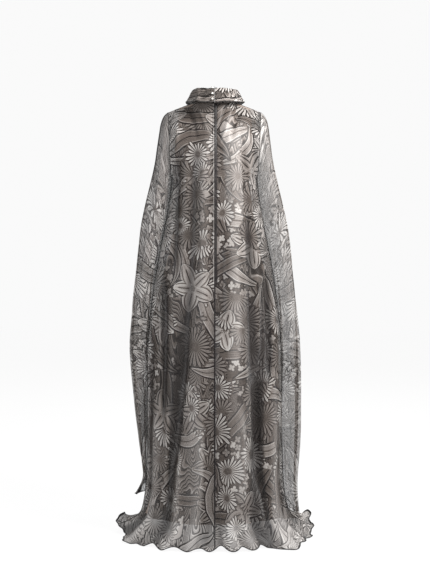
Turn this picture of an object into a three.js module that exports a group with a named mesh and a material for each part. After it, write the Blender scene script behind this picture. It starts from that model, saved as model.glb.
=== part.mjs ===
// A floor-length sheer kaftan, worn and hollow: two back panels with a concealed zip between them, one front panel,
// two long hanging sleeves, a rolled collar with ball buttons and loops at the nape, and a slip lining inside.
// Millimetres, +Z up, +Y to the garment's front, +X to the wearer's right. Heights are drawn from the floor up, and
// the group at the end puts the origin midway between the shoulders, where the wearer carries the cloth.
import * as THREE from "three";

// Driving dimensions
const shoulderHeight = 1500;
const clothWall = 1.6;
const liningWall = 1.2;
const seamGap = 0.4;
const armholeGap = 0.5;

// The body below the underarm, from the hem edge up: height, half width at the side seams, depth to the back and to
// the front, how pointed the side seams are (1 is an ellipse), how far back they sit, and the share of the hem's
// ruffle and of its flutes that reaches this row.
const bodySections = [
  { height: 4, half: 350, back: 298, front: 268, corner: 0.86, seamBack: 0, ruffle: 1, flute: 1 },
  { height: 12, half: 329, back: 280, front: 251, corner: 0.88, seamBack: 0, ruffle: 0.8, flute: 0.9 },
  { height: 32, half: 304, back: 259, front: 236, corner: 0.92, seamBack: 2, ruffle: 0.5, flute: 0.74 },
  { height: 66, half: 281, back: 244, front: 225, corner: 0.97, seamBack: 5, ruffle: 0.26, flute: 0.55 },
  { height: 114, half: 264, back: 234, front: 217, corner: 1.04, seamBack: 9, ruffle: 0.1, flute: 0.34 },
  { height: 184, half: 251, back: 225, front: 208, corner: 1.1, seamBack: 14, ruffle: 0.02, flute: 0.16 },
  { height: 284, half: 245, back: 212, front: 196, corner: 1.16, seamBack: 20, ruffle: 0, flute: 0.05 },
  { height: 404, half: 242, back: 197, front: 184, corner: 1.22, seamBack: 26, ruffle: 0, flute: 0 },
  { height: 540, half: 241, back: 180, front: 170, corner: 1.26, seamBack: 31, ruffle: 0, flute: 0 },
  { height: 676, half: 238, back: 163, front: 158, corner: 1.26, seamBack: 34, ruffle: 0, flute: 0 },
  { height: 800, half: 229, back: 150, front: 149, corner: 1.2, seamBack: 34, ruffle: 0, flute: 0 },
  { height: 910, half: 214, back: 139, front: 143, corner: 1.1, seamBack: 30, ruffle: 0, flute: 0 },
  { height: 1010, half: 197, back: 130, front: 140, corner: 0.98, seamBack: 24, ruffle: 0, flute: 0 },
  { height: 1110, half: 177, back: 124, front: 138, corner: 0.84, seamBack: 15, ruffle: 0, flute: 0 },
  { height: 1204, half: 161, back: 120, front: 133, corner: 0.72, seamBack: 6, ruffle: 0, flute: 0 },
  { height: 1280, half: 153, back: 118, front: 127, corner: 0.7, seamBack: 0, ruffle: 0, flute: 0 },
];

// Depth of the centre line above the underarm, at even steps from the underarm to the neck seam.
const chestDepths = [
  { back: 117, front: 126 },
  { back: 115, front: 127 },
  { back: 109, front: 114 },
  { back: 91, front: 95 },
  { back: 60, front: 78 },
];
const neck = { half: 75, back: 60, front: 78, backHeight: 1540, sideHeight: 1546, frontHeight: 1508, share: 3 / 7 };
const shoulderTip = { half: 165, height: 1513 };
const armholePower = 0.87; // below 1 the armhole is fuller than an ellipse

// Lengthwise folds of the body. Angles run in degrees from the centre back (0) over the wearer's right side (90) to
// the centre front (180): where the fold lies at the top and at the hem, the height at which it starts, how far it
// stands out (a minus sign is a trough), and its half width.
const bodyFolds = [
  { top: 0, hem: 0, start: 1180, out: -7, wide: 7 },
  { top: 19, hem: 17, start: 1020, out: 6, wide: 11 },
  { top: 47, hem: 38, start: 1200, out: -13, wide: 9 },
  { top: 62, hem: 58, start: 760, out: 8, wide: 10 },
  { top: 78, hem: 74, start: 620, out: -7, wide: 8 },
  { top: -14, hem: -17, start: 900, out: 6, wide: 10 },
  { top: -26, hem: -43, start: 1000, out: -12, wide: 8 },
  { top: -44, hem: -60, start: 820, out: 8, wide: 9 },
  { top: -64, hem: -76, start: 1010, out: -9, wide: 9 },
  { top: 108, hem: 112, start: 900, out: 6, wide: 10 },
  { top: 127, hem: 130, start: 1050, out: -10, wide: 9 },
  { top: 148, hem: 150, start: 980, out: 8, wide: 11 },
  { top: 168, hem: 170, start: 1080, out: -8, wide: 9 },
  { top: -172, hem: -170, start: 900, out: 6, wide: 9 },
  { top: -151, hem: -150, start: 1060, out: -10, wide: 9 },
  { top: -130, hem: -127, start: 940, out: 8, wide: 11 },
  { top: -108, hem: -106, start: 1000, out: -8, wide: 9 },
];
const foldGrowth = 520; // height over which a fold comes to its full depth

// The hem's ruffle: waves all round, and the large flutes that stand out of it.
const ruffle = { waves: 24, lift: 7, out: 9 };
const hemFlutes = [
  { at: -97, wide: 13, out: 20, lift: 16 },
  { at: -70, wide: 9, out: 8, lift: 4 },
  { at: -52, wide: 5, out: -10, lift: 2 },
  { at: -30, wide: 9, out: 8, lift: 0 },
  { at: 12, wide: 8, out: 8, lift: 0 },
  { at: 29, wide: 5, out: -20, lift: 0 },
  { at: 44, wide: 11, out: 56, lift: 0 },
  { at: 61, wide: 4, out: -14, lift: 14 },
  { at: 72, wide: 6, out: 18, lift: 4 },
  { at: 84, wide: 5, out: -8, lift: 8 },
  { at: 104, wide: 10, out: 18, lift: 26 },
  { at: 150, wide: 10, out: 10, lift: 4 },
  { at: -140, wide: 10, out: 12, lift: 6 },
];

// The sleeves, from the armhole down. Each row is one ring: the heights of its inner and outer points, how far the
// ring has turned to the front, its gap to the body's side seam, its width away from the body, its half depth to the
// back and to the front, and the share of the drop shape that pinches it at the seam (0 is an ellipse).
const sleeveTop = [
  { inner: 1280, outer: 1513, turn: 0, gap: 0.6, wide: 12, back: 80, front: 66, drop: 0 },
  { inner: 1272, outer: 1499, turn: 0, gap: 0.8, wide: 25, back: 79, front: 67, drop: 0.05 },
  { inner: 1258, outer: 1474, turn: 0, gap: 1, wide: 34, back: 78, front: 69, drop: 0.12 },
  { inner: 1236, outer: 1438, turn: 0, gap: 1, wide: 38, back: 77, front: 71, drop: 0.22 },
  { inner: 1206, outer: 1388, turn: 0, gap: 1, wide: 42, back: 76, front: 73, drop: 0.35 },
  { inner: 1168, outer: 1326, turn: 0, gap: 1, wide: 45, back: 75, front: 76, drop: 0.5 },
  { inner: 1122, outer: 1256, turn: 0, gap: 1, wide: 52, back: 73, front: 79, drop: 0.65 },
  { inner: 1068, outer: 1178, turn: 0, gap: 1, wide: 60, back: 70, front: 82, drop: 0.8 },
  { inner: 1008, outer: 1098, turn: 2, gap: 1, wide: 64, back: 66, front: 84, drop: 0.9 },
  { inner: 940, outer: 1012, turn: 4, gap: 1, wide: 64, back: 62, front: 86, drop: 1 },
  { inner: 866, outer: 922, turn: 6, gap: 1, wide: 62, back: 58, front: 88, drop: 1 },
  { inner: 786, outer: 826, turn: 8, gap: 1, wide: 64, back: 56, front: 90, drop: 1 },
  { inner: 698, outer: 724, turn: 10, gap: 1, wide: 62, back: 54, front: 90, drop: 1 },
];
const sleeveRightEnd = [
  { inner: 600, outer: 618, turn: 11, gap: 1, wide: 62, back: 52, front: 86, drop: 1 },
  { inner: 500, outer: 510, turn: 11, gap: 1, wide: 60, back: 52, front: 80, drop: 1 },
  { inner: 400, outer: 404, turn: 11, gap: 1, wide: 59, back: 53, front: 74, drop: 1 },
  { inner: 300, outer: 300, turn: 11, gap: 1.5, wide: 55, back: 54, front: 66, drop: 1 },
  { inner: 214, outer: 206, turn: 12, gap: 3, wide: 49, back: 56, front: 58, drop: 0.9 },
  { inner: 150, outer: 130, turn: 14, gap: 6, wide: 47, back: 58, front: 52, drop: 0.8 },
  { inner: 112, outer: 76, turn: 16, gap: 9, wide: 49, back: 60, front: 50, drop: 0.7 },
];
const sleeveLeftEnd = [
  { inner: 600, outer: 620, turn: 11, gap: 1, wide: 59, back: 50, front: 88, drop: 1 },
  { inner: 505, outer: 518, turn: 9, gap: 1, wide: 52, back: 46, front: 88, drop: 1 },
  { inner: 415, outer: 424, turn: 6, gap: 1, wide: 43, back: 40, front: 90, drop: 1 },
  { inner: 330, outer: 334, turn: 3, gap: 2, wide: 30, back: 32, front: 90, drop: 1 },
  { inner: 262, outer: 258, turn: 0, gap: 3, wide: 18, back: 24, front: 88, drop: 0.9 },
  { inner: 214, outer: 200, turn: 0, gap: 3, wide: 10, back: 20, front: 86, drop: 0.8 },
  { inner: 186, outer: 140, turn: 20, gap: 5, wide: 30, back: 28, front: 84, drop: 0.7 },
];
const sleeveFolds = { waves: 4, out: 4, startRow: 5, fullRow: 15 };
const sleeveOuterBack = 0.25; // share of the seam's set-back that the sleeve's outer edge keeps

// The slip lining inside: how far it hangs in from the outer cloth, and where it stops.
const lining = { inset: 10, neckInset: 4.4, foldShare: 0.8, hemRow: 3.35, armholeShare: 0.76, chestShare: 0.88 };

// The collar's fold, as steps out from the neck seam and up from it, from the foot of the stand over the roll to the
// lower edge of the fall. The last columns are the extra drop of the fall at the back and at the front.
const collarProfile = [
  { out: -1, up: 0.7, drop: 0 },
  { out: -4, up: 18, drop: 0 },
  { out: -6, up: 34, drop: 0 },
  { out: -6, up: 46, drop: 0 },
  { out: -2, up: 53, drop: 0 },
  { out: 5, up: 53, drop: 0 },
  { out: 11, up: 44, drop: 1 },
  { out: 19, up: 24, drop: 4 },
  { out: 30, up: 3, drop: 7 },
];
const collar = { wall: 1.6, slit: 2.6, lean: 0.16, steps: 24 };

const button = { radius: 3.5, across: -7.5, rows: [5.15, 6.6, 7.55], seat: 0.4 };
const loop = { cord: 0.65, radius: 4.9, reach: 9.5, sides: 6, steps: 12 };
const zip = { wide: 8, wall: 0.9, topRow: 1.8, endHeight: 968, steps: 22 };

const radians = (degrees) => (degrees * Math.PI) / 180;
const ease = (t) => {
  const s = Math.min(Math.max(t, 0), 1);
  return s * s * (3 - 2 * s);
};
const mix = (a, b, t) => a + (b - a) * t;
const bell = (distance, width) => Math.exp(-((distance / width) ** 2));

// The value of one column of a table between its rows, on a smooth curve through them.
function along(rows, column, place) {
  const last = rows.length - 1;
  const row = Math.min(Math.max(Math.floor(place), 0), last - 1);
  const t = place - row;
  const at = (i) => rows[Math.min(Math.max(i, 0), last)][column];
  const [a, b, c, d] = [at(row - 1), at(row), at(row + 1), at(row + 2)];
  return b + 0.5 * t * (c - a + t * (2 * a - 5 * b + 4 * c - d + t * (3 * (b - c) + d - a)));
}

const turnBetween = (a, b) => ((((a - b) % 360) + 540) % 360) - 180;

// How far the folds move the cloth at an angle round the body and a height.
function foldDepth(angle, height) {
  let out = 0;
  for (const fold of bodyFolds) {
    const centre = mix(fold.top, fold.hem, (1100 - height) / 1000);
    out += fold.out * ease((fold.start - height) / foldGrowth) * bell(turnBetween(angle, centre), fold.wide);
  }
  return out;
}

// Lift and outward move of the hem's waves and of its flutes at an angle round it, at full size.
function hemRuffle(angle) {
  const a = radians(angle);
  const phase = ruffle.waves * a + 1.1 * Math.sin(3 * a + 0.5) + 0.8 * Math.sin(5 * a - 0.7);
  const size = 0.75 + 0.25 * Math.sin(2 * a + 1.2) + 0.2 * Math.sin(7 * a);
  const lift = ruffle.lift * size * (1 + Math.sin(phase));
  const out = ruffle.out * size * Math.cos(phase + 0.4);
  let [fluteLift, fluteOut] = [0, 0];
  for (const flute of hemFlutes) {
    const share = bell(turnBetween(angle, flute.at), flute.wide);
    fluteLift += flute.lift * share;
    fluteOut += flute.out * share;
  }
  return { lift, out, fluteLift, fluteOut };
}

// A point of the body below the underarm. Angle as in bodyFolds, row as a place between the rows of bodySections.
function skirtPoint(angle, row, foldShare = 1, ruffleShare = 1) {
  const a = radians(angle);
  const [s, c] = [Math.sin(a), Math.cos(a)];
  const height = along(bodySections, "height", row);
  const half = along(bodySections, "half", row);
  const depth = along(bodySections, c > 0 ? "back" : "front", row);
  const edge = hemRuffle(angle);
  const wave = Math.max(along(bodySections, "ruffle", row), 0) * ruffleShare;
  const flute = Math.max(along(bodySections, "flute", row), 0) * ruffleShare;
  const out = foldDepth(angle, height) * foldShare + edge.out * wave + edge.fluteOut * flute;
  const lift = edge.lift * wave + edge.fluteLift * flute * wave;
  const normal = new THREE.Vector3(s / half, -c / depth, 0).normalize();
  const y = -depth * squared(c, along(bodySections, "corner", row));
  return new THREE.Vector3(half * s, y, height + lift).addScaledVector(normal, out);
}

const squared = (value, power) => Math.sign(value) * Math.abs(value) ** power;

// How far back the side seams and all that hangs from them sit, at a share of the way out to the seam.
const seamBackAt = (row, across) => Math.max(along(bodySections, "seamBack", row), 0) * ease(across * across);

// A point of a sleeve: side is 1 for the wearer's right, turn runs from the outer edge (0) over the front, row as a
// place between the rows of the table.
function sleevePoint(side, turn, row) {
  const table = [...sleeveTop, ...(side > 0 ? sleeveRightEnd : sleeveLeftEnd)];
  const value = (column) => along(table, column, row);
  const bodyRow = rowAtHeight(value("inner"));
  const yaw = radians(value("turn"));
  const out = new THREE.Vector3(Math.cos(yaw), Math.sin(yaw), 0);
  const across = new THREE.Vector3(-out.y, out.x, 0);
  const point = new THREE.Vector3(along(bodySections, "half", bodyRow) + value("gap"), 0, 0);
  const power = mix(armholePower, 1, ease(row / 6));
  const c = squared(Math.cos(turn), power);
  const s = squared(Math.sin(turn), power);
  const away = (1 + c) / 2; // 0 at the side seam, 1 at the outer edge
  const share = ease((row - sleeveFolds.startRow) / (sleeveFolds.fullRow - sleeveFolds.startRow));
  const wave = sleeveFolds.out * share * away * Math.sin(sleeveFolds.waves * turn + 0.9 + 0.12 * row);
  const pinch = mix(1, 1.3 * Math.sqrt(away), Math.min(Math.max(value("drop"), 0), 1));
  const depth = value(s > 0 ? "front" : "back") * pinch;
  point.addScaledVector(out, (value("wide") + wave) * away).addScaledVector(across, (depth + wave) * s);
  point.y -= seamBackAt(bodyRow, 1) * mix(1, sleeveOuterBack, away);
  point.z = mix(value("inner"), value("outer"), away);
  point.x *= side;
  return point;
}

// The row of bodySections at a height.
function rowAtHeight(height) {
  let [low, high] = [0, bodySections.length - 1];
  for (let i = 0; i < 40; i++) {
    const middle = (low + high) / 2;
    if (along(bodySections, "height", middle) < height) low = middle;
    else high = middle;
  }
  return (low + high) / 2;
}

const underarmRow = bodySections.length - 1;

// A point of a body panel. Face is -1 for the back and 1 for the front; u runs from the centre (0) to the side (1, or
// -1 to the wearer's left); v is the row of bodySections up to the underarm, and beyond it up to one more at the top.
function panelPoint(face, u, v, foldShare = 1, ruffleShare = 1) {
  const side = u < 0 ? -1 : 1;
  const across = Math.abs(u);
  if (v <= underarmRow) {
    const angle = face < 0 ? side * across * 90 : side * (180 - across * 90);
    const point = skirtPoint(angle, v, foldShare, ruffleShare);
    const y = face * (Math.abs(point.y) + seamGap / 2) - seamBackAt(v, across);
    return new THREE.Vector3(point.x, y, point.z);
  }
  const s = Math.min(v - underarmRow, 1);
  const edge = sleevePoint(1, face * Math.acos(squared(2 * s - 1, 1 / armholePower)), 0);
  const depth = along(chestDepths, face < 0 ? "back" : "front", s * (chestDepths.length - 1));
  const blend = ease(s) * s;
  const ring = Math.sin((across * Math.PI) / 2);
  const drop = Math.cos((across * Math.PI) / 2) ** bodySections[underarmRow].corner;
  const onNeck = across < neck.share;
  const turn = Math.min(across / neck.share, 1) * (Math.PI / 2);
  const alongSeam = Math.max((across - neck.share) / (1 - neck.share), 0);
  const neckDepth = face < 0 ? neck.back : neck.front;
  const neckHeight = face < 0 ? neck.backHeight : neck.frontHeight;
  const top = {
    x: onNeck ? neck.half * Math.sin(turn) : mix(neck.half, shoulderTip.half, alongSeam),
    y: onNeck ? neckDepth * Math.cos(turn) : 0,
    z: onNeck
      ? mix(neckHeight, neck.sideHeight, Math.sin(turn) ** 1.5)
      : mix(neck.sideHeight, shoulderTip.height, alongSeam ** 1.2),
  };
  const x = (edge.x - armholeGap) * mix(ring, top.x / shoulderTip.half, blend);
  const fill = mix(across ** 6, across ** 2.4, ease(s * 1.6)); // how far in the armhole's fullness carries
  const y = mix(depth * drop + Math.abs(edge.y) * fill, top.y, blend * blend);
  return new THREE.Vector3(side * x, face * (y + seamGap / 2), edge.z + (top.z - shoulderTip.height) * blend);
}

// The outward normal of a surface at a place, with the components that a seam pins taken out.
function normalAt(surface, u, v, pinned) {
  const step = 2e-3;
  const du = surface(u + step, v).sub(surface(u - step, v));
  const dv = surface(u, v + step).sub(surface(u, v - step));
  const normal = du.cross(dv).normalize();
  pinned(normal, u, v);
  return normal.normalize();
}

// Joins two rows of vertices with triangles. The second row may have twice the columns of the first.
function stitch(faces, low, high, flip) {
  const add = (a, b, c) => faces.push(...(flip ? [a, c, b] : [a, b, c]));
  const [few, many, turned] = low.length <= high.length ? [low, high, false] : [high, low, true];
  const put = (a, b, c) => (turned ? add(a, c, b) : add(a, b, c));
  for (let i = 0; i + 1 < few.length; i++) {
    if (few.length === many.length) {
      put(few[i], few[i + 1], many[i + 1]);
      put(few[i], many[i + 1], many[i]);
    } else {
      put(few[i], many[2 * i + 1], many[2 * i]);
      put(few[i], few[i + 1], many[2 * i + 1]);
      put(few[i + 1], many[2 * i + 2], many[2 * i + 1]);
    }
  }
}

// A closed wall of cloth. Rows list their v and their u places; a ring closes each row on itself.
function clothWallOf(rows, surface, wall, { ring = false, pinned = () => {} } = {}) {
  const positions = [];
  const faces = [];
  const [outer, inner] = [[], []];
  for (const { v, places } of rows) {
    const [outerRow, innerRow] = [[], []];
    for (const u of places) {
      const point = surface(u, v);
      const back = point.clone().addScaledVector(normalAt(surface, u, v, pinned), -wall);
      outerRow.push(positions.push(point) - 1);
      innerRow.push(positions.push(back) - 1);
    }
    if (ring) {
      outerRow.push(outerRow[0]);
      innerRow.push(innerRow[0]);
    }
    outer.push(outerRow);
    inner.push(innerRow);
  }
  for (let i = 0; i + 1 < rows.length; i++) {
    stitch(faces, outer[i], outer[i + 1], false);
    stitch(faces, inner[i], inner[i + 1], true);
  }
  const last = rows.length - 1;
  stitch(faces, inner[0], outer[0], false);
  stitch(faces, outer[last], inner[last], false);
  if (!ring) {
    stitch(faces, outer.map((row) => row[0]), inner.map((row) => row[0]), false);
    stitch(faces, outer.map((row) => row[row.length - 1]), inner.map((row) => row[row.length - 1]), true);
  }
  return closedGeometry(positions, faces);
}

// A geometry of shared points and faces, turned so that its faces point out.
function closedGeometry(points, faces) {
  let volume = 0;
  for (let i = 0; i < faces.length; i += 3) {
    const [a, b, c] = [points[faces[i]], points[faces[i + 1]], points[faces[i + 2]]];
    volume += a.dot(b.clone().cross(c));
  }
  if (volume < 0) faces.reverse();
  const geometry = new THREE.BufferGeometry();
  geometry.setAttribute("position", new THREE.Float32BufferAttribute(points.flatMap((p) => p.toArray()), 3));
  geometry.setIndex(faces);
  geometry.computeVertexNormals();
  return geometry;
}

const steps = (count, from, to) => Array.from({ length: count + 1 }, (_, i) => mix(from, to, i / count));

// The places of a panel's rows: every half row of the ruffled hem at fine steps, then coarser rows up to the neck.
function panelRows(columns, from, to) {
  const fine = [0, 0.5, 1, 1.5, 2, 2.6, 3.3, 4];
  const coarse = [5, 6, 6.8, 7.6, 8.4, 9.2, 10, 10.8, 11.6, 12.4, 13.2, 14.1, underarmRow];
  const upper = [0.03, 0.1, 0.21, 0.35, 0.5, 0.64, 0.77, 0.88, 0.95, 1].map((s) => underarmRow + s);
  return [
    ...fine.map((v) => ({ v, places: steps(2 * columns, from, to) })),
    ...[...coarse, ...upper].map((v) => ({ v, places: steps(columns, from, to) })),
  ];
}

// Panels meet at the centre back, the sides and the shoulders in flat faces, and at the armholes beside the sleeves.
function pinPanel(normal, u, v) {
  const across = Math.abs(u);
  if (across < 1e-6) normal.x = 0;
  if (across > 1 - 1e-6 && v <= underarmRow + 1e-6) normal.y = 0;
  if (v >= underarmRow + 1 - 1e-6 && across >= neck.share - 1e-6) normal.y = 0;
  if (across > 1 - 1e-6 && v > underarmRow) normal.x = Math.sign(u) * Math.max(Math.sign(u) * normal.x, 0);
}

function backPanel(side) {
  const surface = (u, v) => {
    const point = panelPoint(-1, side * Math.min(Math.max(Math.abs(u), 0), 1), Math.min(Math.max(v, 0), underarmRow + 1));
    point.x += (side * seamGap) / 2;
    return point;
  };
  const pinned = (normal, u, v) => {
    if (normal.dot(surface(u, v).setZ(40)) < 0) normal.negate();
    pinPanel(normal, side * u, v);
  };
  return clothWallOf(panelRows(14, 0, 1), surface, clothWall, { pinned });
}

function frontPanel() {
  const surface = (u, v) => panelPoint(1, Math.min(Math.max(u, -1), 1), Math.min(Math.max(v, 0), underarmRow + 1));
  const pinned = (normal, u, v) => {
    if (normal.dot(surface(u, v).setZ(40)) < 0) normal.negate();
    if (Math.abs(u) > 1e-6) pinPanel(normal, u, v);
  };
  return clothWallOf(panelRows(28, -1, 1), surface, clothWall, { pinned });
}

function sleeve(side) {
  const last = sleeveTop.length + sleeveRightEnd.length - 1;
  const surface = (turn, row) => sleevePoint(side, turn, Math.min(Math.max(row, 0), last));
  const pinned = (normal, turn, row) => {
    const centre = surface(0, row).add(surface(Math.PI, row)).multiplyScalar(0.5);
    if (normal.dot(surface(turn, row).sub(centre)) < 0) normal.negate();
    if (row < 1e-6) normal.x = side * Math.min(side * normal.x, 0);
  };
  const rings = [0, 0.5, 1, 1.6, 2.3, 3.1, 4, 5, 6, 7, 8, 9, 10, 11, 12, 13, 14, 15, 16, 17, 18, 19];
  const places = steps(22, 0, 2 * Math.PI).slice(0, -1);
  return clothWallOf(rings.map((v) => ({ v, places })), surface, clothWall, { ring: true, pinned });
}

// The lining hangs inside the body on the same lines, set in by more below the neck, and stops above the hem.
function liningPanel(face) {
  const hang = (v) => mix(lining.inset, lining.neckInset, ease((v - underarmRow - 0.35) / 0.65));
  const base = (u, v) => {
    const side = Math.sign(u);
    const across = Math.min(Math.abs(u), 1);
    const reach = mix(1, lining.armholeShare, ease(v - underarmRow + 1.2));
    const beyond = ((across - neck.share) * (reach - neck.share)) / (1 - neck.share);
    const place = across < neck.share ? across : neck.share + beyond;
    const point = panelPoint(face, side * place, Math.min(v, underarmRow + 1), lining.foldShare, 0);
    point.x *= mix(1, lining.chestShare, ease((v - 9.5) / 3) * (1 - ease((v - underarmRow + 0.6) / 1.2)));
    return point;
  };
  const pinned = (normal, u, v) => {
    if (normal.dot(base(u, v).setZ(40)) < 0) normal.negate();
    if (Math.abs(u) > 1e-6) pinPanel(normal, u, v);
  };
  const surface = (u, v) => base(u, v).addScaledVector(normalAt(base, u, v, pinned), -hang(v));
  const heights = [lining.hemRow, 4.2, 5.2, 6.2, 7.2, 8.2, 9.2, 10.2, 11.2, 12.2, 13.2, 14.2, underarmRow];
  const upper = [0.05, 0.15, 0.32, 0.5, 0.7, 0.82, 0.91, 1].map((s) => underarmRow + s);
  const rows = [...heights, ...upper].map((v) => ({ v, places: steps(14, -1, 1) }));
  return clothWallOf(rows, surface, liningWall, { pinned });
}

// The neck seam at an angle from the centre back, and its outward direction.
function neckSeam(angle) {
  const [s, c] = [Math.sin(angle), Math.cos(angle)];
  const depth = c > 0 ? neck.back : neck.front;
  const height = mix(c > 0 ? neck.backHeight : neck.frontHeight, neck.sideHeight, Math.abs(s) ** 1.5);
  return {
    point: new THREE.Vector3(neck.half * s, -depth * c, height),
    out: new THREE.Vector3(s / neck.half, -c / depth, 0).normalize(),
    middle: Math.abs(c),
  };
}

// A point of the collar's middle surface: angle from the centre back, row as a place on collarProfile.
function collarPoint(angle, row) {
  const seam = neckSeam(angle);
  const up = along(collarProfile, "up", row) - along(collarProfile, "drop", row) * seam.middle;
  const point = seam.point.addScaledVector(seam.out, along(collarProfile, "out", row));
  point.z += up;
  point.y += collar.lean * Math.max(up, 0); // the neck leans forward
  return point;
}

function collarNormal(angle, row) {
  const step = 1e-3;
  const du = collarPoint(angle + step, row).sub(collarPoint(angle - step, row));
  const last = collarProfile.length - 1;
  const dv = collarPoint(angle, Math.min(row + step, last)).sub(collarPoint(angle, Math.max(row - step, 0)));
  return dv.cross(du).normalize();
}

function collarRing() {
  const end = Math.asin(collar.slit / neck.half);
  const last = collarProfile.length - 1;
  const between = steps(collar.steps, 0, 2 * Math.PI).slice(1, -1);
  const places = [end, ...between, 2 * Math.PI - end];
  const rows = steps(8, 0, last).map((v) => ({ v, places }));
  const surface = (angle, row) => {
    const held = Math.min(Math.max(row, 0), last);
    return collarPoint(angle, held).addScaledVector(collarNormal(angle, held), collar.wall / 2);
  };
  const pinned = (normal, angle, row) => {
    normal.copy(collarNormal(angle, row));
    if (Math.abs(Math.sin(angle)) < Math.sin(end) + 1e-6 && Math.cos(angle) > 0) normal.x = 0;
  };
  return clothWallOf(rows, surface, collar.wall, { pinned });
}

// A place on the outside of the collar's fall near the nape, a step off its face.
function onCollar(across, row, off) {
  const angle = Math.asin(across / (neck.half + along(collarProfile, "out", row)));
  return collarPoint(angle, row).addScaledVector(collarNormal(angle, row), collar.wall / 2 + off);
}

function ballButton(row) {
  const ball = new THREE.SphereGeometry(button.radius, 10, 8);
  const centre = onCollar(button.across, row, button.seat + button.radius);
  return ball.translate(centre.x, centre.y, centre.z);
}

// A cord loop: out from the right-hand edge of the slit, round the ball, and back.
function cordLoop(row) {
  const ball = onCollar(button.across, row, button.seat + button.radius);
  const foot = onCollar(loop.reach, row, loop.cord + button.seat);
  const face = onCollar(0, row, 1).sub(onCollar(0, row, 0));
  const sideways = foot.clone().sub(ball).projectOnPlane(face).normalize();
  const upward = sideways.clone().cross(face).normalize();
  const round = (turn) =>
    ball
      .clone()
      .addScaledVector(sideways, loop.radius * Math.cos(turn))
      .addScaledVector(upward, loop.radius * Math.sin(turn));
  const path = [
    foot.clone().addScaledVector(upward, 1.6),
    ...steps(loop.steps, 0.9, 2 * Math.PI - 0.9).map(round),
    foot.clone().addScaledVector(upward, -1.6),
  ];
  const curve = new THREE.CatmullRomCurve3(path);
  const corner = (i) => new THREE.Vector2(
    loop.cord * Math.cos((2 * Math.PI * i) / loop.sides),
    loop.cord * Math.sin((2 * Math.PI * i) / loop.sides),
  );
  const section = new THREE.Shape(Array.from({ length: loop.sides }, (_, i) => corner(i)));
  return new THREE.ExtrudeGeometry(section, { steps: 22, extrudePath: curve, bevelEnabled: false });
}

// The concealed zip's tape, inside the centre back seam and following the panels' inner face.
function zipTape() {
  const surface = (u, v) => {
    const across = u * zip.wide;
    const near = panelPoint(-1, Math.abs(across) / 300, v);
    const normal = normalAt((a, b) => panelPoint(-1, a, b), 0.004, v, (n) => {
      if (n.y > 0) n.negate();
      n.x = 0;
    });
    const point = near.addScaledVector(normal, -(clothWall + seamGap));
    point.x = across;
    return point;
  };
  const pinned = (normal) => {
    if (normal.y > 0) normal.negate();
    normal.x = 0;
  };
  const low = rowAtHeight(zip.endHeight);
  const high = underarmRow + zip.topRow - 1;
  const rows = steps(zip.steps, low, high).map((v) => ({ v, places: steps(2, -0.5, 0.5) }));
  return clothWallOf(rows, surface, zip.wall, { pinned });
}

const organza = new THREE.MeshStandardMaterial({ color: 0x8d8784, roughness: 0.55, metalness: 0, name: "organza" });
const slipCloth = new THREE.MeshStandardMaterial({ color: 0x8f827b, roughness: 0.7, metalness: 0, name: "slip" });
const pearl = new THREE.MeshStandardMaterial({ color: 0xdedad4, roughness: 0.3, metalness: 0, name: "pearl" });
const blackCord = new THREE.MeshStandardMaterial({ color: 0x1f1e1f, roughness: 0.7, metalness: 0, name: "cord" });
const tape = new THREE.MeshStandardMaterial({ color: 0x3a3735, roughness: 0.6, metalness: 0, name: "tape" });

const kaftan = new THREE.Group();
kaftan.position.z = -shoulderHeight;

function addPiece(name, geometry, material) {
  const mesh = new THREE.Mesh(geometry, material);
  mesh.name = name;
  kaftan.add(mesh);
}

addPiece("back_left", backPanel(-1), organza);
addPiece("back_right", backPanel(1), organza);
addPiece("front", frontPanel(), organza);
addPiece("sleeve_left", sleeve(-1), organza);
addPiece("sleeve_right", sleeve(1), organza);
addPiece("lining_back", liningPanel(-1), slipCloth);
addPiece("lining_front", liningPanel(1), slipCloth);
addPiece("collar", collarRing(), organza);
addPiece("back_zip", zipTape(), tape);
button.rows.forEach((row, i) => {
  addPiece(`collar_button_${i + 1}`, ballButton(row), pearl);
  addPiece(`collar_loop_${i + 1}`, cordLoop(row), blackCord);
});

export default kaftan;
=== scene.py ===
import math

import bmesh
import bpy
import numpy as np
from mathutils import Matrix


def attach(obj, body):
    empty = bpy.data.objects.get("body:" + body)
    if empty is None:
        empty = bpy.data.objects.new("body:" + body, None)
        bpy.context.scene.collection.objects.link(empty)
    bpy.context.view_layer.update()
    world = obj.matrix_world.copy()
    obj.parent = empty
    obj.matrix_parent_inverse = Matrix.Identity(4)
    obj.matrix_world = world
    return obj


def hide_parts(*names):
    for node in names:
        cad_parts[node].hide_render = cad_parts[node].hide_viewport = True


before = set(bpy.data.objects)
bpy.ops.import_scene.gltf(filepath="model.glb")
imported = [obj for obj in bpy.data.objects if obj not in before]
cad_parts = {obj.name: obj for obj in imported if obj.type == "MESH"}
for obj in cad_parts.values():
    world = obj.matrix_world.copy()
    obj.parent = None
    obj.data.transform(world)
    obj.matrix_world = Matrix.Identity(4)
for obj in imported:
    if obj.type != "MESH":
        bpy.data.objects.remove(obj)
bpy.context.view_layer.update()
floorHeight = -1.5
print("frame loaded")

# ---- camera, light and floor

view = {"distance": 4.5, "height": 1.1, "across": 0.0018, "pitch": 2.82, "lens": 51.81}

camera = bpy.data.objects.new("camera", bpy.data.cameras.new("camera"))
camera.data.sensor_fit = "VERTICAL"
camera.data.sensor_height = 24
camera.data.lens = view["lens"]
camera.data.clip_end = 60
camera.location = (view["across"], -view["distance"], floorHeight + view["height"])
camera.rotation_euler = (math.radians(90 - view["pitch"]), 0, 0)
bpy.context.collection.objects.link(camera)
bpy.context.scene.camera = camera
bpy.context.scene.view_settings.view_transform = "Standard"

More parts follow.
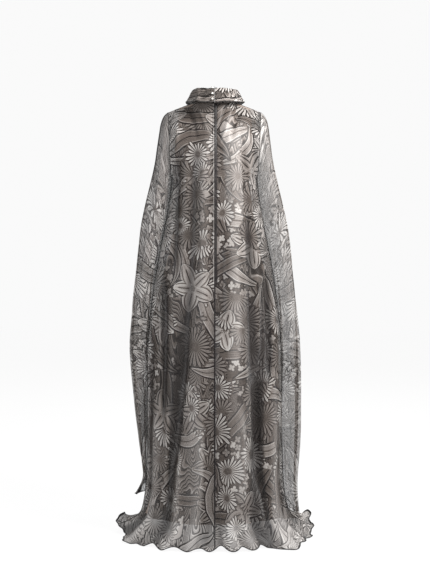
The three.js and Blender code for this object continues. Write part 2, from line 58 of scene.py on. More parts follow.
# square soft lamps: place, the point they look at, width, power and colour
lamps = {
    "key": ((1.9, -1.7, 0.95), (0.05, 0, -0.35), 0.9, 11, (1, 0.985, 0.97)),
    "near": ((0.98, -0.78, 0.62), (0.1, -0.1, -0.04), 0.45, 59, (1, 0.99, 0.98)),
    "side": ((2.5, 0.2, -0.7), (0.2, 0, -0.75), 0.9, 36, (1, 1, 1)),
    "fill": ((-2.8, -2.4, 0.1), (0, 0, -0.8), 1.6, 90, (0.96, 0.98, 1)),
    "back": ((0.6, 3.0, 1.9), (0, 0, -0.6), 2.4, 70, (1, 1, 1)),
}
for lampName, (at, aim, width, power, tone) in lamps.items():
    light = bpy.data.objects.new(lampName, bpy.data.lights.new(lampName, "AREA"))
    light.data.size, light.data.energy, light.data.color = width, power, tone
    light.location = at
    toward = np.array(aim) - np.array(at)
    flat = math.hypot(toward[0], toward[1])
    light.rotation_euler = (math.atan2(flat, -toward[2]), 0, math.atan2(toward[1], toward[0]) - math.pi / 2)
    bpy.context.collection.objects.link(light)
print("camera and lamps set")

# ---- small helpers for numbers


def mix(a, b, t):
    return a + (b - a) * t


def ease(t):
    s = np.clip(t, 0, 1)
    return s * s * (3 - 2 * s)


def bell(distance, width):
    return np.exp(-((distance / width) ** 2))


def squared(value, power):
    return np.sign(value) * np.abs(value) ** power


def along(values, place):
    # the value of a list between its entries, on a smooth curve through them
    values = np.asarray(values, dtype=float)
    last = len(values) - 1
    row = np.clip(np.floor(place), 0, last - 1).astype(int)
    t = place - row
    a, b, c, d = (values[np.clip(row + k, 0, last)] for k in (-1, 0, 1, 2))
    return b + 0.5 * t * (c - a + t * (2 * a - 5 * b + 4 * c - d + t * (3 * (b - c) + d - a)))


# ---- the form of the cloth: millimetres, heights from the floor up, as in the solids

body = {
    "height": [4, 12, 32, 66, 114, 184, 284, 404, 540, 676, 800, 910, 1010, 1110, 1204, 1280],
    "half": [347, 334, 308, 270, 256, 248, 244, 242, 241, 238, 229, 214, 197, 177, 161, 153],
    "back": [298, 280, 259, 244, 234, 225, 212, 197, 180, 163, 150, 139, 130, 124, 120, 118],
    "front": [268, 251, 236, 225, 217, 208, 196, 184, 170, 158, 149, 143, 140, 138, 133, 127],
    "corner": [0.86, 0.88, 0.92, 0.97, 1.04, 1.1, 1.16, 1.22, 1.26, 1.26, 1.2, 1.1, 0.98, 0.84, 0.72, 0.7],
    "seamBack": [0, 0, 2, 5, 9, 14, 20, 26, 31, 34, 34, 30, 24, 15, 6, 0],
    "ruffle": [1, 0.8, 0.5, 0.26, 0.1, 0.02] + [0] * 10,
    "flute": [1, 0.9, 0.74, 0.55, 0.34, 0.16, 0.05] + [0] * 9,
}
underarm = len(body["height"]) - 1
chest = {"back": [117, 115, 109, 91, 60], "front": [126, 127, 114, 95, 78]}
neck = {
    "half": 75, "back": 60, "front": 78, "share": 3 / 7,
    "backHeight": 1540, "sideHeight": 1546, "frontHeight": 1508,
}
shoulderTip = {"half": 165, "height": 1513}
armholePower = 0.87
seamGap = 0.06
armholeGap = 0.1

# lengthwise folds: angle from the centre back at the top and at the hem, starting height, depth, half width
bodyFolds = [
    (0, 0, 1180, -7, 7), (19, 17, 1020, 6, 11), (47, 38, 1200, -13, 9), (62, 58, 760, 8, 10),
    (78, 74, 620, -7, 8), (-14, -17, 900, 6, 10), (-26, -43, 1000, -12, 8), (-44, -60, 820, 8, 9),
    (-64, -76, 1010, -9, 9), (108, 112, 900, 6, 10), (127, 130, 1050, -10, 9), (148, 150, 980, 8, 11),
    (168, 170, 1080, -8, 9), (-172, -170, 900, 6, 9), (-151, -150, 1060, -10, 9),
    (-130, -127, 940, 8, 11), (-108, -106, 1000, -8, 9),
]
foldGrowth = 520
# the hem's own waves, the finer ripple of its edge, and how low the cloth may lie on the floor
ruffle = {
    "waves": 24, "lift": 7, "out": 11, "ripples": 57, "rippleOut": 2.0, "rippleFade": 22,
    "rest": 2.6, "slope": 0.6,
}
# flutes of the hem: angle, half width, how far out, how far up
hemFlutes = [
    (-99, 10, 6, 46), (-77, 6, -20, -10), (-61, 9, 4, -10), (-49, 5, 2, -8), (-30, 9, 8, 0),
    (12, 8, 8, 0), (29, 5, -20, 0), (45, 10, 54, -18), (60, 4, -8, 6), (74, 9, 10, -16),
    (89, 6, 8, 18), (105, 9, 10, 46), (150, 10, 10, 4), (-140, 10, 12, 6),
]
sleeveShape = {
    "inner": [1280, 1272, 1258, 1236, 1206, 1168, 1122, 1068, 1008, 940, 866, 786, 698],
    "outer": [1513, 1499, 1474, 1438, 1388, 1326, 1256, 1178, 1098, 1012, 922, 826, 724],
    "turn": [0, 0, 0, 0, 0, 0, 0, 0, 2, 4, 6, 8, 10],
    "gap": [0.6, 0.6] + [0.4] * 11,
    "wide": [12, 25, 34, 38, 42, 45, 52, 60, 63, 61, 58, 58, 56],
    "back": [80, 79, 78, 77, 76, 75, 73, 70, 66, 62, 58, 56, 54],
    "front": [66, 67, 69, 71, 73, 76, 79, 82, 84, 86, 88, 90, 90],
    "drop": [0, 0.05, 0.12, 0.22, 0.35, 0.5, 0.65, 0.8, 0.9, 1, 1, 1, 1],
}
sleeveEnd = {
    1: {
        "inner": [600, 500, 400, 300, 212, 142, 96],
        "outer": [618, 510, 404, 300, 204, 124, 64],
        "turn": [11, 11, 11, 11, 10, 8, 6],
        "gap": [0.4, 0.4, 0.4, 0.4, 0.6, 1.2, 2.4],
        "wide": [56, 55, 54, 51, 46, 43, 40],
        "back": [52, 52, 53, 54, 56, 58, 60],
        "front": [86, 80, 74, 66, 58, 52, 50],
        "drop": [1, 1, 1, 1, 0.9, 0.8, 0.7],
    },
    -1: {
        "inner": [600, 505, 415, 330, 262, 214, 186],
        "outer": [620, 518, 424, 334, 258, 200, 140],
        "turn": [11, 9, 6, 3, 0, 0, 20],
        "gap": [0.4, 0.4, 0.4, 0.8, 1.2, 1.5, 3],
        "wide": [51, 43, 34, 22, 12, 9, 27],
        "back": [50, 46, 40, 32, 24, 20, 28],
        "front": [88, 88, 90, 90, 88, 86, 84],
        "drop": [1, 1, 1, 1, 0.9, 0.8, 0.7],
    },
}
sleeveWaves = {"waves": 4, "out": 4, "startRow": 5, "fullRow": 15, "outerBack": 0.25}
slip = {
    "inset": 10, "neckInset": 4.4, "foldShare": 0.8,
    "hemRow": 3.35, "armholeShare": 0.76, "chestShare": 0.88, "chestRow": 9.5, "hemWave": 2.5,
}
collarFold = {
    "out": [-1, -4, -8, -9, -5, 2, 9, 18, 29],
    "up": [0.7, 17, 31, 41, 47, 47, 39, 22, 3],
    "drop": [0, 0, -2, -4, -6, -6, -4, -1, 0],
    "wall": 1.6, "slit": 0.35, "lean": 0.16,
}


def turnBetween(a, b):
    return (a - b + 180) % 360 - 180


def foldDepth(angle, height):
    out = 0
    for top, hem, start, size, wide in bodyFolds:
        centre = mix(top, hem, (1100 - height) / 1000)
        out = out + size * ease((start - height) / foldGrowth) * bell(turnBetween(angle, centre), wide)
    return out


def hemRuffle(angle):
    a = np.radians(angle)
    phase = ruffle["waves"] * a + 1.1 * np.sin(3 * a + 0.5) + 0.8 * np.sin(5 * a - 0.7)
    size = 0.75 + 0.25 * np.sin(2 * a + 1.2) + 0.2 * np.sin(7 * a)
    lift = ruffle["lift"] * size * (1 + np.sin(phase))
    out = ruffle["out"] * size * np.cos(phase + 0.4)
    shares = [bell(turnBetween(angle, at), wide) for at, wide, _, _ in hemFlutes]
    fluteOut = sum(flute[2] * share for flute, share in zip(hemFlutes, shares))
    fluteLift = sum(flute[3] * share for flute, share in zip(hemFlutes, shares))
    return lift, out, fluteLift, fluteOut


def frill(angle, height):
    # a finer ripple of the rolled edge itself, over the hem's own waves
    a = np.radians(angle)
    share = np.exp(-np.maximum(height, 0) / ruffle["rippleFade"])
    drift = 2.2 * np.sin(4 * a) + 1.3 * np.sin(9 * a + 1)
    return share * ruffle["rippleOut"] * np.sin(ruffle["ripples"] * a + drift)


def skirt(angle, row, foldShare=1, ruffleShare=1):
    a = np.radians(angle)
    s, c = np.sin(a), np.cos(a)
    height = along(body["height"], row)
    half = along(body["half"], row)
    depth = np.where(c > 0, along(body["back"], row), along(body["front"], row))
    lift, out, fluteLift, fluteOut = hemRuffle(angle)
    wave = np.maximum(along(body["ruffle"], row), 0) * ruffleShare
    flute = np.maximum(along(body["flute"], row), 0) * ruffleShare
    out = foldDepth(angle, height) * foldShare + out * wave + fluteOut * flute
    out = out + frill(angle, height) * ruffleShare
    nx, ny = s / half, -c / depth
    size = np.hypot(nx, ny)
    x = half * s + out * nx / size
    y = -depth * squared(c, along(body["corner"], row)) + out * ny / size
    # the cloth spreads on the floor where a flute would drop through it
    floorLimit = ruffle["rest"] + (height - body["height"][0]) * ruffle["slope"]
    rise = np.maximum(height + lift * wave + fluteLift * flute * wave, floorLimit)
    return np.stack([x, y, rise], axis=-1)


def seamBackAt(row, across):
    return np.maximum(along(body["seamBack"], row), 0) * ease(across * across)


rowTable = np.linspace(0, underarm, 4000)
heightTable = along(body["height"], rowTable)


def sleeve(side, turn, row):
    value = {key: along(sleeveShape[key] + sleeveEnd[side][key], row) for key in sleeveShape}
    bodyRow = np.interp(value["inner"], heightTable, rowTable)
    yaw = np.radians(value["turn"])
    power = mix(armholePower, 0.78, ease(row / 6))
    c, s = squared(np.cos(turn), power), squared(np.sin(turn), power)
    away = (1 + c) / 2
    share = ease((row - sleeveWaves["startRow"]) / (sleeveWaves["fullRow"] - sleeveWaves["startRow"]))
    wave = sleeveWaves["out"] * share * away * np.sin(sleeveWaves["waves"] * turn + 0.9 + 0.12 * row)
    pinch = mix(1, 1.3 * np.sqrt(away), np.clip(value["drop"], 0, 1))
    outward = (value["wide"] + wave) * away
    across = (np.where(s > 0, value["front"], value["back"]) * pinch + wave) * s
    x = along(body["half"], bodyRow) + value["gap"] + outward * np.cos(yaw) - across * np.sin(yaw)
    y = outward * np.sin(yaw) + across * np.cos(yaw)
    y = y - seamBackAt(bodyRow, 1) * mix(1, sleeveWaves["outerBack"], away)
    return np.stack([side * x, y, mix(value["inner"], value["outer"], away)], axis=-1)


def panel(face, u, v, foldShare=1, ruffleShare=1):
    # face -1 is the back and 1 the front; u runs from the centre to the side, v counts the rows of the body
    side, across = np.where(u < 0, -1, 1), np.abs(u)
    low = np.minimum(v, underarm)
    angle = side * across * 90 if face < 0 else side * (180 - across * 90)
    lower = skirt(angle, low, foldShare, ruffleShare)
    lower[..., 1] = face * (np.abs(lower[..., 1]) + seamGap / 2) - seamBackAt(low, across)
    s = np.clip(v - underarm, 0, 1)
    edge = sleeve(1, face * np.arccos(squared(2 * s - 1, 1 / armholePower)), np.zeros_like(s))
    depth = along(chest["back" if face < 0 else "front"], s * 4)
    blend = ease(s) * s
    ring = np.sin(across * np.pi / 2)
    drop = np.maximum(np.cos(across * np.pi / 2), 0) ** body["corner"][underarm]
    onNeck = across < neck["share"]
    turn = np.minimum(across / neck["share"], 1) * np.pi / 2
    seam = np.maximum((across - neck["share"]) / (1 - neck["share"]), 0)
    neckDepth = neck["back" if face < 0 else "front"]
    neckHeight = neck["backHeight" if face < 0 else "frontHeight"]
    topX = np.where(onNeck, neck["half"] * np.sin(turn), mix(neck["half"], shoulderTip["half"], seam))
    topY = np.where(onNeck, neckDepth * np.cos(turn), 0)
    topZ = np.where(
        onNeck,
        mix(neckHeight, neck["sideHeight"], np.abs(np.sin(turn)) ** 1.5),
        mix(neck["sideHeight"], shoulderTip["height"], seam**1.2),
    )
    x = (edge[..., 0] - armholeGap) * mix(ring, topX / shoulderTip["half"], blend)
    fill = mix(across**6, across**2.4, ease(s * 1.6))
    y = mix(depth * drop + np.abs(edge[..., 1]) * fill, topY, blend * blend)
    z = edge[..., 2] + (topZ - shoulderTip["height"]) * blend
    upper = np.stack([side * x, face * (y + seamGap / 2), z], axis=-1)
    return np.where((v > underarm)[..., None], upper, lower)


def neckSeam(angle):
    s, c = np.sin(angle), np.cos(angle)
    depth = np.where(c > 0, neck["back"], neck["front"])
    height = np.where(c > 0, neck["backHeight"], neck["frontHeight"])
    height = mix(height, neck["sideHeight"], np.abs(s) ** 1.5)
    out = np.stack([s / neck["half"], -c / depth], axis=-1)
    out = out / np.linalg.norm(out, axis=-1, keepdims=True)
    return np.stack([neck["half"] * s, -depth * c, height], axis=-1), out, np.abs(c)


def collarMiddle(angle, row):
    point, out, middle = neckSeam(angle)
    up = along(collarFold["up"], row) - along(collarFold["drop"], row) * middle
    step = along(collarFold["out"], row)
    x = point[..., 0] + out[..., 0] * step
    y = point[..., 1] + out[..., 1] * step + collarFold["lean"] * np.maximum(up, 0)
    return np.stack([x, y, point[..., 2] + up], axis=-1)


# ---- soft creases and unevenness that lie on the form

# how creases fade at their ends and bow between them, and how much deeper the body's are laid than listed
creaseForm = {"bodyGain": 1.7, "sleeveGain": 1.1, "bow": 0.01, "overlap": 0.08, "fade": 0.3}
# creases of the back: from (x, height) to (x, height), how far out, half width
backCreases = [
    (-24, 1500, -32, 640, 3.5, 20), (-70, 1440, -112, 560, -5, 19), (-104, 700, -152, 240, -7, 13),
    (-132, 1400, -150, 900, -6, 13), (-184, 960, -188, 380, -9, 15), (-166, 460, -178, 110, 6, 9),
    (-44, 430, -66, 50, 5, 13), (-118, 330, -140, 70, 5, 11), (-6, 700, -4, 330, 2.5, 11),
    (92, 1500, 78, 1080, 6, 36), (40, 1500, 62, 1160, 6, 22), (62, 1160, 72, 600, 5, 21),
    (96, 1420, 124, 900, -6, 13), (146, 960, 152, 660, 6, 8), (118, 900, 130, 520, -5, 13),
    (186, 960, 198, 540, -9, 14), (146, 580, 150, 250, -8, 12), (150, 270, 198, 20, -8, 12),
    (64, 1540, 20, 1390, 3, 6.5), (46, 1542, 11, 1450, -3.2, 5), (92, 1532, 56, 1400, -2.6, 8),
    (-60, 1540, -24, 1440, 2.4, 7), (-86, 1530, -60, 1410, -2.6, 9), (90, 470, 98, 150, 5, 13),
    (34, 420, 40, 90, -4, 12), (128, 1500, 138, 1330, -3, 8), (-128, 1500, -140, 1320, 3, 9),
    (22, 1060, 30, 760, -3, 12),
]
frontCreases = [
    (0, 1480, 6, 700, 5, 26), (-46, 1440, -70, 520, -7, 18), (58, 1450, 84, 560, -7, 19),
    (-96, 1380, -132, 480, 6, 18), (112, 1400, 140, 640, 6, 16), (-150, 960, -170, 240, -8, 15),
    (168, 940, 186, 260, -8, 15), (24, 640, 34, 60, -6, 16), (-30, 560, -44, 60, 6, 15),
    (96, 520, 112, 90, 6, 15), (-104, 500, -120, 80, -5, 13), (62, 1500, 30, 1390, 3, 8),
    (-64, 1500, -36, 1400, 3, 8), (128, 1480, 146, 1330, -4, 9), (-128, 1480, -146, 1330, -4, 9),
    (200, 620, 214, 240, 6, 12), (-200, 600, -212, 260, 6, 12),
]
# creases of the sleeves, in degrees round: from (angle, height) to (angle, height), how far out, half width
sleeveCreases = {
    1: [
        (300, 1420, 292, 760, -6, 9), (330, 1380, 322, 900, 4, 10), (268, 1240, 262, 560, 6, 10),
        (236, 1180, 232, 500, -5, 9), (312, 760, 306, 260, -7, 10), (284, 700, 288, 180, 5, 10),
        (342, 820, 338, 200, 5, 9), (60, 1400, 66, 820, -6, 11), (96, 1300, 100, 620, 6, 12),
        (130, 1180, 128, 480, -6, 11), (72, 760, 70, 220, 6, 12), (40, 980, 42, 300, -5, 10),
        (110, 560, 104, 160, -5, 12), (255, 460, 250, 130, -4, 10),
    ],
    -1: [
        (302, 1440, 296, 820, -5, 9), (328, 1340, 326, 780, 5, 10), (270, 1260, 262, 600, 6, 11),
        (238, 1200, 236, 560, -6, 9), (314, 820, 308, 330, -6, 10), (286, 760, 280, 300, 5, 10),
        (345, 760, 340, 240, 4, 9), (58, 1420, 64, 860, -6, 11), (92, 1280, 98, 640, 6, 12),
        (128, 1200, 124, 520, -6, 11), (74, 760, 76, 260, 6, 12), (42, 940, 44, 320, -5, 10),
        (108, 600, 102, 240, -5, 12),
    ],
}


def creaseDepth(across, height, creases, span=1.0):
    # every crease fades in and out over its two ends
    out = np.zeros_like(height)
    for fromAcross, fromHeight, toAcross, toHeight, size, wide in creases:
        share = (fromHeight - height) / (fromHeight - toHeight)
        way = 1 if (fromAcross + size) % 2 > 1 else -1
        bow = creaseForm["bow"] * (toHeight - fromHeight) * np.sin(share * np.pi) * way
        centre = mix(fromAcross, toAcross, share) + bow * span
        start, end = share + creaseForm["overlap"], 1 + creaseForm["overlap"] - share
        fade = ease(start / creaseForm["fade"]) * ease(end / creaseForm["fade"])
        out = out + size * fade * bell(across - centre, wide)
    return out


# hills and hollows of each kind of cloth: how wide, how tall, how deep
hills = {
    "panel": [(46, 210, 4.0), (21, 95, 1.8)],
    "sleeve": [(38, 230, 3.2), (20, 90, 0.9)],
    "lining": [(40, 260, 2.6)],
    "collar": [(17, 16, 2.0), (7, 9, 0.9)],
}
latticeSize = 64


def unevenness(kind, across, height, seed):
    # soft, random hills and hollows: lattices of random values, blended
    out = np.zeros_like(height)
    for more, (wide, tall, deep) in enumerate(hills[kind]):
        lattice = np.random.default_rng(seed + more).uniform(-1, 1, (latticeSize, latticeSize))
        x, y = across / wide + latticeSize / 2, height / tall + 4
        column, row = np.floor(x).astype(int), np.floor(y).astype(int)
        s, t = ease(x - column), ease(y - row)
        left, right = column % latticeSize, (column + 1) % latticeSize
        low, high = row % latticeSize, (row + 1) % latticeSize
        lower = mix(lattice[low, left], lattice[low, right], s)
        out = out + mix(lower, mix(lattice[high, left], lattice[high, right], s), t) * deep
    return out


def gridNormals(points, hint, ring=False):
    if ring:
        wrapped = np.concatenate([points[:, -2:-1], points, points[:, 1:2]], axis=1)
        du = (wrapped[:, 2:] - wrapped[:, :-2]) / 2
    else:
        du = np.gradient(points, axis=1)
    normals = np.cross(du, np.gradient(points, axis=0))
    normals /= np.maximum(np.linalg.norm(normals, axis=-1, keepdims=True), 1e-9)
    return normals * np.sign(np.sum(normals * hint))


def arcLengths(points):
    # how far each point is from the first column along its row, and the mean run of the rows up the cloth
    across = np.cumsum(np.linalg.norm(np.diff(points, axis=1), axis=-1), axis=1)
    across = np.concatenate([np.zeros((len(points), 1)), across], axis=1)
    up = np.cumsum(np.mean(np.linalg.norm(np.diff(points, axis=0), axis=-1), axis=1))
    up = np.concatenate([[0], up])
    return across, np.repeat(up[:, None], points.shape[1], axis=1)


def toMetres(points):
    return points / 1000 + np.array([0, 0, floorHeight])


def addPiece(name, mesh, material, replaced=()):
    piece = bpy.data.objects.new(name, mesh)
    bpy.context.collection.objects.link(piece)
    mesh.materials.clear()
    mesh.materials.append(material)
    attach(piece, "root")
    if replaced:
        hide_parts(*replaced)
    return piece


def clothMesh(name, points, normals, uv, wall, ring=False, lead=0.45, foldShadeDepth=None):
    # a closed thin wall: the outer face lies the lead inside the form, the inner one a wall's thickness further
    rows, columns = points.shape[:2]
    real = columns - 1 if ring else columns
    outer = points - normals * lead
    inner = outer - normals * wall
    number = np.arange(rows)[:, None] * real + np.arange(columns)[None, :] % real
    place = np.arange(rows)[:, None] * columns + np.arange(columns)[None, :]
    both = [(number, place), (number + rows * real, place)]

    def quads(*corners):
        # the corners' numbers, and their places in the grid
        return np.stack([np.stack([corner[kind].ravel() for corner in corners], 1) for kind in (0, 1)])

    def part(side, rowSlice, columnSlice):
        return (both[side][0][rowSlice, columnSlice], both[side][1][rowSlice, columnSlice])

    low, high = slice(0, -1), slice(1, None)
    first, last = slice(0, 1), slice(-1, None)
    o, i = 0, 1
    faces = [
        quads(part(o, low, low), part(o, low, high), part(o, high, high), part(o, high, low)),
        quads(part(i, low, low), part(i, high, low), part(i, high, high), part(i, low, high)),
        quads(part(o, first, high), part(o, first, low), part(i, first, low), part(i, first, high)),
        quads(part(o, last, low), part(o, last, high), part(i, last, high), part(i, last, low)),
    ]
    if not ring:
        faces += [
            quads(part(o, low, first), part(o, high, first), part(i, high, first), part(i, low, first)),
            quads(part(o, high, last), part(o, low, last), part(i, low, last), part(i, high, last)),
        ]
    corners = np.concatenate([f[0] for f in faces])
    places = np.concatenate([f[1] for f in faces])
    facing = np.cross(outer[:-1, 1:] - outer[:-1, :-1], outer[1:, :-1] - outer[:-1, :-1])
    if np.sum(facing * normals[:-1, :-1]) < 0:
        corners, places = corners[:, ::-1], places[:, ::-1]
    vertices = np.concatenate([outer[:, :real].reshape(-1, 3), inner[:, :real].reshape(-1, 3)])
    mesh = bpy.data.meshes.new(name)
    mesh.vertices.add(len(vertices))
    mesh.vertices.foreach_set("co", toMetres(vertices).ravel())
    mesh.loops.add(corners.size)
    mesh.loops.foreach_set("vertex_index", corners.ravel().astype(np.int32))
    mesh.polygons.add(len(corners))
    mesh.polygons.foreach_set("loop_start", np.arange(0, corners.size, 4, dtype=np.int32))
    mesh.update(calc_edges=True)
    mesh.shade_smooth()
    layer = mesh.uv_layers.new(name="cloth")
    layer.data.foreach_set("uv", uv.reshape(-1, 2)[places.ravel()].ravel() / 1000)
    if foldShadeDepth is not None:
        # how far the cloth is drawn in (below 0) or stands proud (above 0), from which the finish paints shade
        # in the valleys and a highlight on the ridges
        values = np.concatenate([foldShadeDepth[:, :real].ravel()] * 2).astype(np.float32)
        mesh.attributes.new("foldShadeDepth", "FLOAT", "POINT").data.foreach_set("value", values)
    return mesh


# ---- materials: sums over sockets, then the node groups that the cloths share


class Sum:
    # a value of a node tree that can be added, scaled and compared

    def __init__(self, tree, socket):
        self.tree, self.socket = tree, socket

    def by(self, operation, *others):
        fed = dict(enumerate((self, *others)))
        return Sum(self.tree, makeNode(self.tree, "ShaderNodeMath", fed, operation=operation).outputs[0])

    def __add__(self, other):
        return self.by("ADD", other)

    def __sub__(self, other):
        return self.by("SUBTRACT", other)

    def __mul__(self, other):
        return self.by("MULTIPLY", other)

    def __truediv__(self, other):
        return self.by("DIVIDE", other)

    def __pow__(self, other):
        return self.by("POWER", other)

    def below(self, other):
        return self.by("LESS_THAN", other)

    def above(self, other):
        return self.by("GREATER_THAN", other)


def feed(tree, entry, value):
    if isinstance(value, Sum):
        tree.links.new(value.socket, entry)
    elif isinstance(value, bpy.types.NodeSocket):
        tree.links.new(value, entry)
    else:
        entry.default_value = value


def feedAll(tree, node, fed):
    for label, value in fed.items():
        feed(tree, node.inputs[label], value)


def makeNode(tree, kind, fed=(), **settings):
    # a node of the kind with its settings, and the value or socket that feeds each of its inputs
    node = tree.nodes.new(kind)
    for label, value in settings.items():
        setattr(node, label, value)
    feedAll(tree, node, dict(fed))
    return node


def blendOf(tree, a, b, share):
    # a where share is 0, b where it is 1
    fed = {"Factor": share, "A": a, "B": b}
    return Sum(tree, makeNode(tree, "ShaderNodeMix", fed, data_type="FLOAT").outputs["Result"])


def soft(value, low, high):
    # 0 below low, 1 above high
    fed = {"Value": value, "From Min": low, "From Max": high}
    node = makeNode(value.tree, "ShaderNodeMapRange", fed, interpolation_type="SMOOTHSTEP")
    return Sum(value.tree, node.outputs["Result"])


def newGroup(name, inputs, outputs, kind="ShaderNodeTree"):
    # a tree with the given inputs (name, type and value) and outputs (name and type)
    tree = bpy.data.node_groups.new(name, kind)
    for label, socket, value in inputs:
        entry = tree.interface.new_socket(label, in_out="INPUT", socket_type="NodeSocket" + socket)
        if value is not None:
            entry.default_value = value
    for label, socket in outputs:
        tree.interface.new_socket(label, in_out="OUTPUT", socket_type="NodeSocket" + socket)
    start, end = tree.nodes.new("NodeGroupInput"), tree.nodes.new("NodeGroupOutput")
    return tree, {label: Sum(tree, start.outputs[label]) for label, _, _ in inputs}, end


def placeGroup(tree, group, **values):
    node = makeNode(tree, "ShaderNodeGroup", node_tree=group)
    feedAll(tree, node, values)
    return {entry.name: Sum(tree, entry) for entry in node.outputs}


def vectorBy(tree, operation, a, b):
    fed = {0: a, "Scale" if operation == "SCALE" else 1: b}
    return makeNode(tree, "ShaderNodeVectorMath", fed, operation=operation).outputs["Vector"]


def joined(tree, x, y):
    return makeNode(tree, "ShaderNodeCombineXYZ", {0: x, 1: y}).outputs[0]


def apart(tree, vector):
    return [Sum(tree, entry) for entry in makeNode(tree, "ShaderNodeSeparateXYZ", {0: vector}).outputs]


def cellFrame(tree, vector, cell, shift, randomness):
    # the nearest motif: where the point lies from its middle, turned at random, and its random numbers
    moved = vectorBy(tree, "ADD", vector, (shift, shift * 0.7, 0))
    fed = {"Vector": moved, "Scale": 1 / cell, "Randomness": randomness}
    cells = makeNode(tree, "ShaderNodeTexVoronoi", fed, voronoi_dimensions="2D")
    colours = makeNode(tree, "ShaderNodeSeparateColor", {0: cells.outputs["Color"]})
    chances = [Sum(tree, entry) for entry in colours.outputs]
    fed = {"Vector": vectorBy(tree, "SUBTRACT", moved, cells.outputs["Position"]), "Angle": chances[0] * 6.283}
    x, y, _ = apart(tree, makeNode(tree, "ShaderNodeVectorRotate", fed, rotation_type="Z_AXIS").outputs[0])
    return x, y, chances


def petalFrame(tree, x, y, petals, chance):
    # the petal a point falls in: how far from the middle, how far from the petal's axis, a random number for it
    distance = (x * x + y * y) ** 0.5
    place = (y.by("ARCTAN2", x) / 6.2832 + 0.5) * petals
    number = place.by("FLOOR")
    side = (place - number - 0.5).by("ABSOLUTE") * (6.2832 / petals) * distance
    fed = {"Vector": joined(tree, number, chance * 91)}
    noise = makeNode(tree, "ShaderNodeTexWhiteNoise", fed, noise_dimensions="2D")
    return distance, side, Sum(tree, noise.outputs["Value"])


def motif(name, cell, shift, randomness):
    # a tree that says where the motif covers the cloth, and its tone there
    tree, given, end = newGroup(name, [("Vector", "Vector", None)], [("Cover", "Float"), ("Tone", "Float")])
    return tree, end, *cellFrame(tree, given["Vector"], cell, shift, randomness)


# every line of the print is this soft at its edge, and this wide
pen = {"soft": 0.0006, "rimOuter": 0.0036, "rimInner": 0.0022}


def penLines(edge, within):
    # the inside of an outline, and its dark line where the motif has one
    inside = soft(edge, pen["soft"], -pen["soft"])
    return inside, soft(edge.by("ABSOLUTE"), pen["rimOuter"], pen["rimInner"]) * within


def starFlower(name, petals, radius, cell, shift, dull=0.7):
    # narrow rays that widen outward from the plain middle, with dark cloth between them
    tree, end, x, y, chances = motif(name, cell, shift, 0.8)
    distance, side, petal = petalFrame(tree, x, y, petals, chances[1])
    reach = (petal * 0.34 + 0.66) * (chances[2] * 0.2 + 0.8) * radius
    run = distance / reach
    tip = ((run * -1 + 1) / 0.2).by("MAXIMUM", 0).by("MINIMUM", 1) ** 0.5
    half = (distance * (math.pi / petals * 0.62) - 0.0004).by("MAXIMUM", 0) * tip
    edge = side - half
    ray = soft(edge, 0.0007, -0.0005) * soft(run, 0.2, 0.3)
    split = soft(side, 0.0011, 0.0004) * soft(run, 0.55, 0.7) * petal.above(0.6)
    bright = run * 0.3 + petal * 0.14 + 0.5 - split * 0.45
    bright = blendOf(tree, bright, bright * 0.55, chances[2].above(dull))
    dark = soft(edge, 0.0, 0.0012) * soft(edge, 0.006, 0.003) * soft(run, 1.05, 0.98)
    ground = dark * -0.2 + 0.22
    feed(tree, end.inputs["Cover"], soft(run, 1.1, 1.02))
    feed(tree, end.inputs["Tone"], blendOf(tree, ground, bright, ray))
    return tree


def openFlower(name, petals, radius, cell, shift, width=0.36, share=0.7):
    # a few broad petals in outline: a dark line, a light one inside it, an inner fold and a middle vein
    tree, end, x, y, chances = motif(name, cell, shift, 0.65)
    distance, side, petal = petalFrame(tree, x, y, petals, chances[1])
    reach = (petal * 0.3 + 0.7) * radius
    whole = distance / reach
    run = whole.by("MINIMUM", 1)
    swell = ((run ** 0.9) * math.pi).by("SINE").by("MAXIMUM", 0) ** 0.6
    half = swell * (radius * width) * (petal * 0.25 + 0.75)
    edge = side - half
    leaf, rim = penLines(edge, soft(whole, 1.03, 1.0))
    lit = soft(edge, -0.0026, -0.0036) * soft(edge, -0.008, -0.006)
    roomy = soft(half, 0.009, 0.014)
    inner = soft((side - half * 0.56).by("ABSOLUTE"), 0.003, 0.0016) * roomy * soft(run, 0.95, 0.85)
    vein = soft(side, 0.0026, 0.0014) * soft(run, 0.78, 0.7) * soft(run, 0.16, 0.22)
    shade = blendOf(tree, run * 0.24 + 0.42, run * -0.2 + 0.56, petal.above(0.5))
    shade = shade + chances[1].above(0.62) * 0.2
    strokes = soft(((side / half.by("MAXIMUM", 0.0005)) * 7 + run * 2).by("SINE"), 0.3, 0.9) * 0.12
    tone = (shade + lit * 0.2 - strokes * roomy - (inner + vein) * 0.5).by("MAXIMUM", 0)
    heart = soft(distance, radius * 0.13, radius * 0.1)
    rays = soft((y.by("ARCTAN2", x) * 9).by("SINE"), -0.1, 0.4)
    tone = blendOf(tree, tone, rays * 0.6 + 0.1, heart)
    tone = blendOf(tree, tone, 0.0, rim)
    present = chances[2].below(share)
    feed(tree, end.inputs["Cover"], leaf.by("MAXIMUM", rim).by("MAXIMUM", heart) * present)
    feed(tree, end.inputs["Tone"], tone)
    return tree


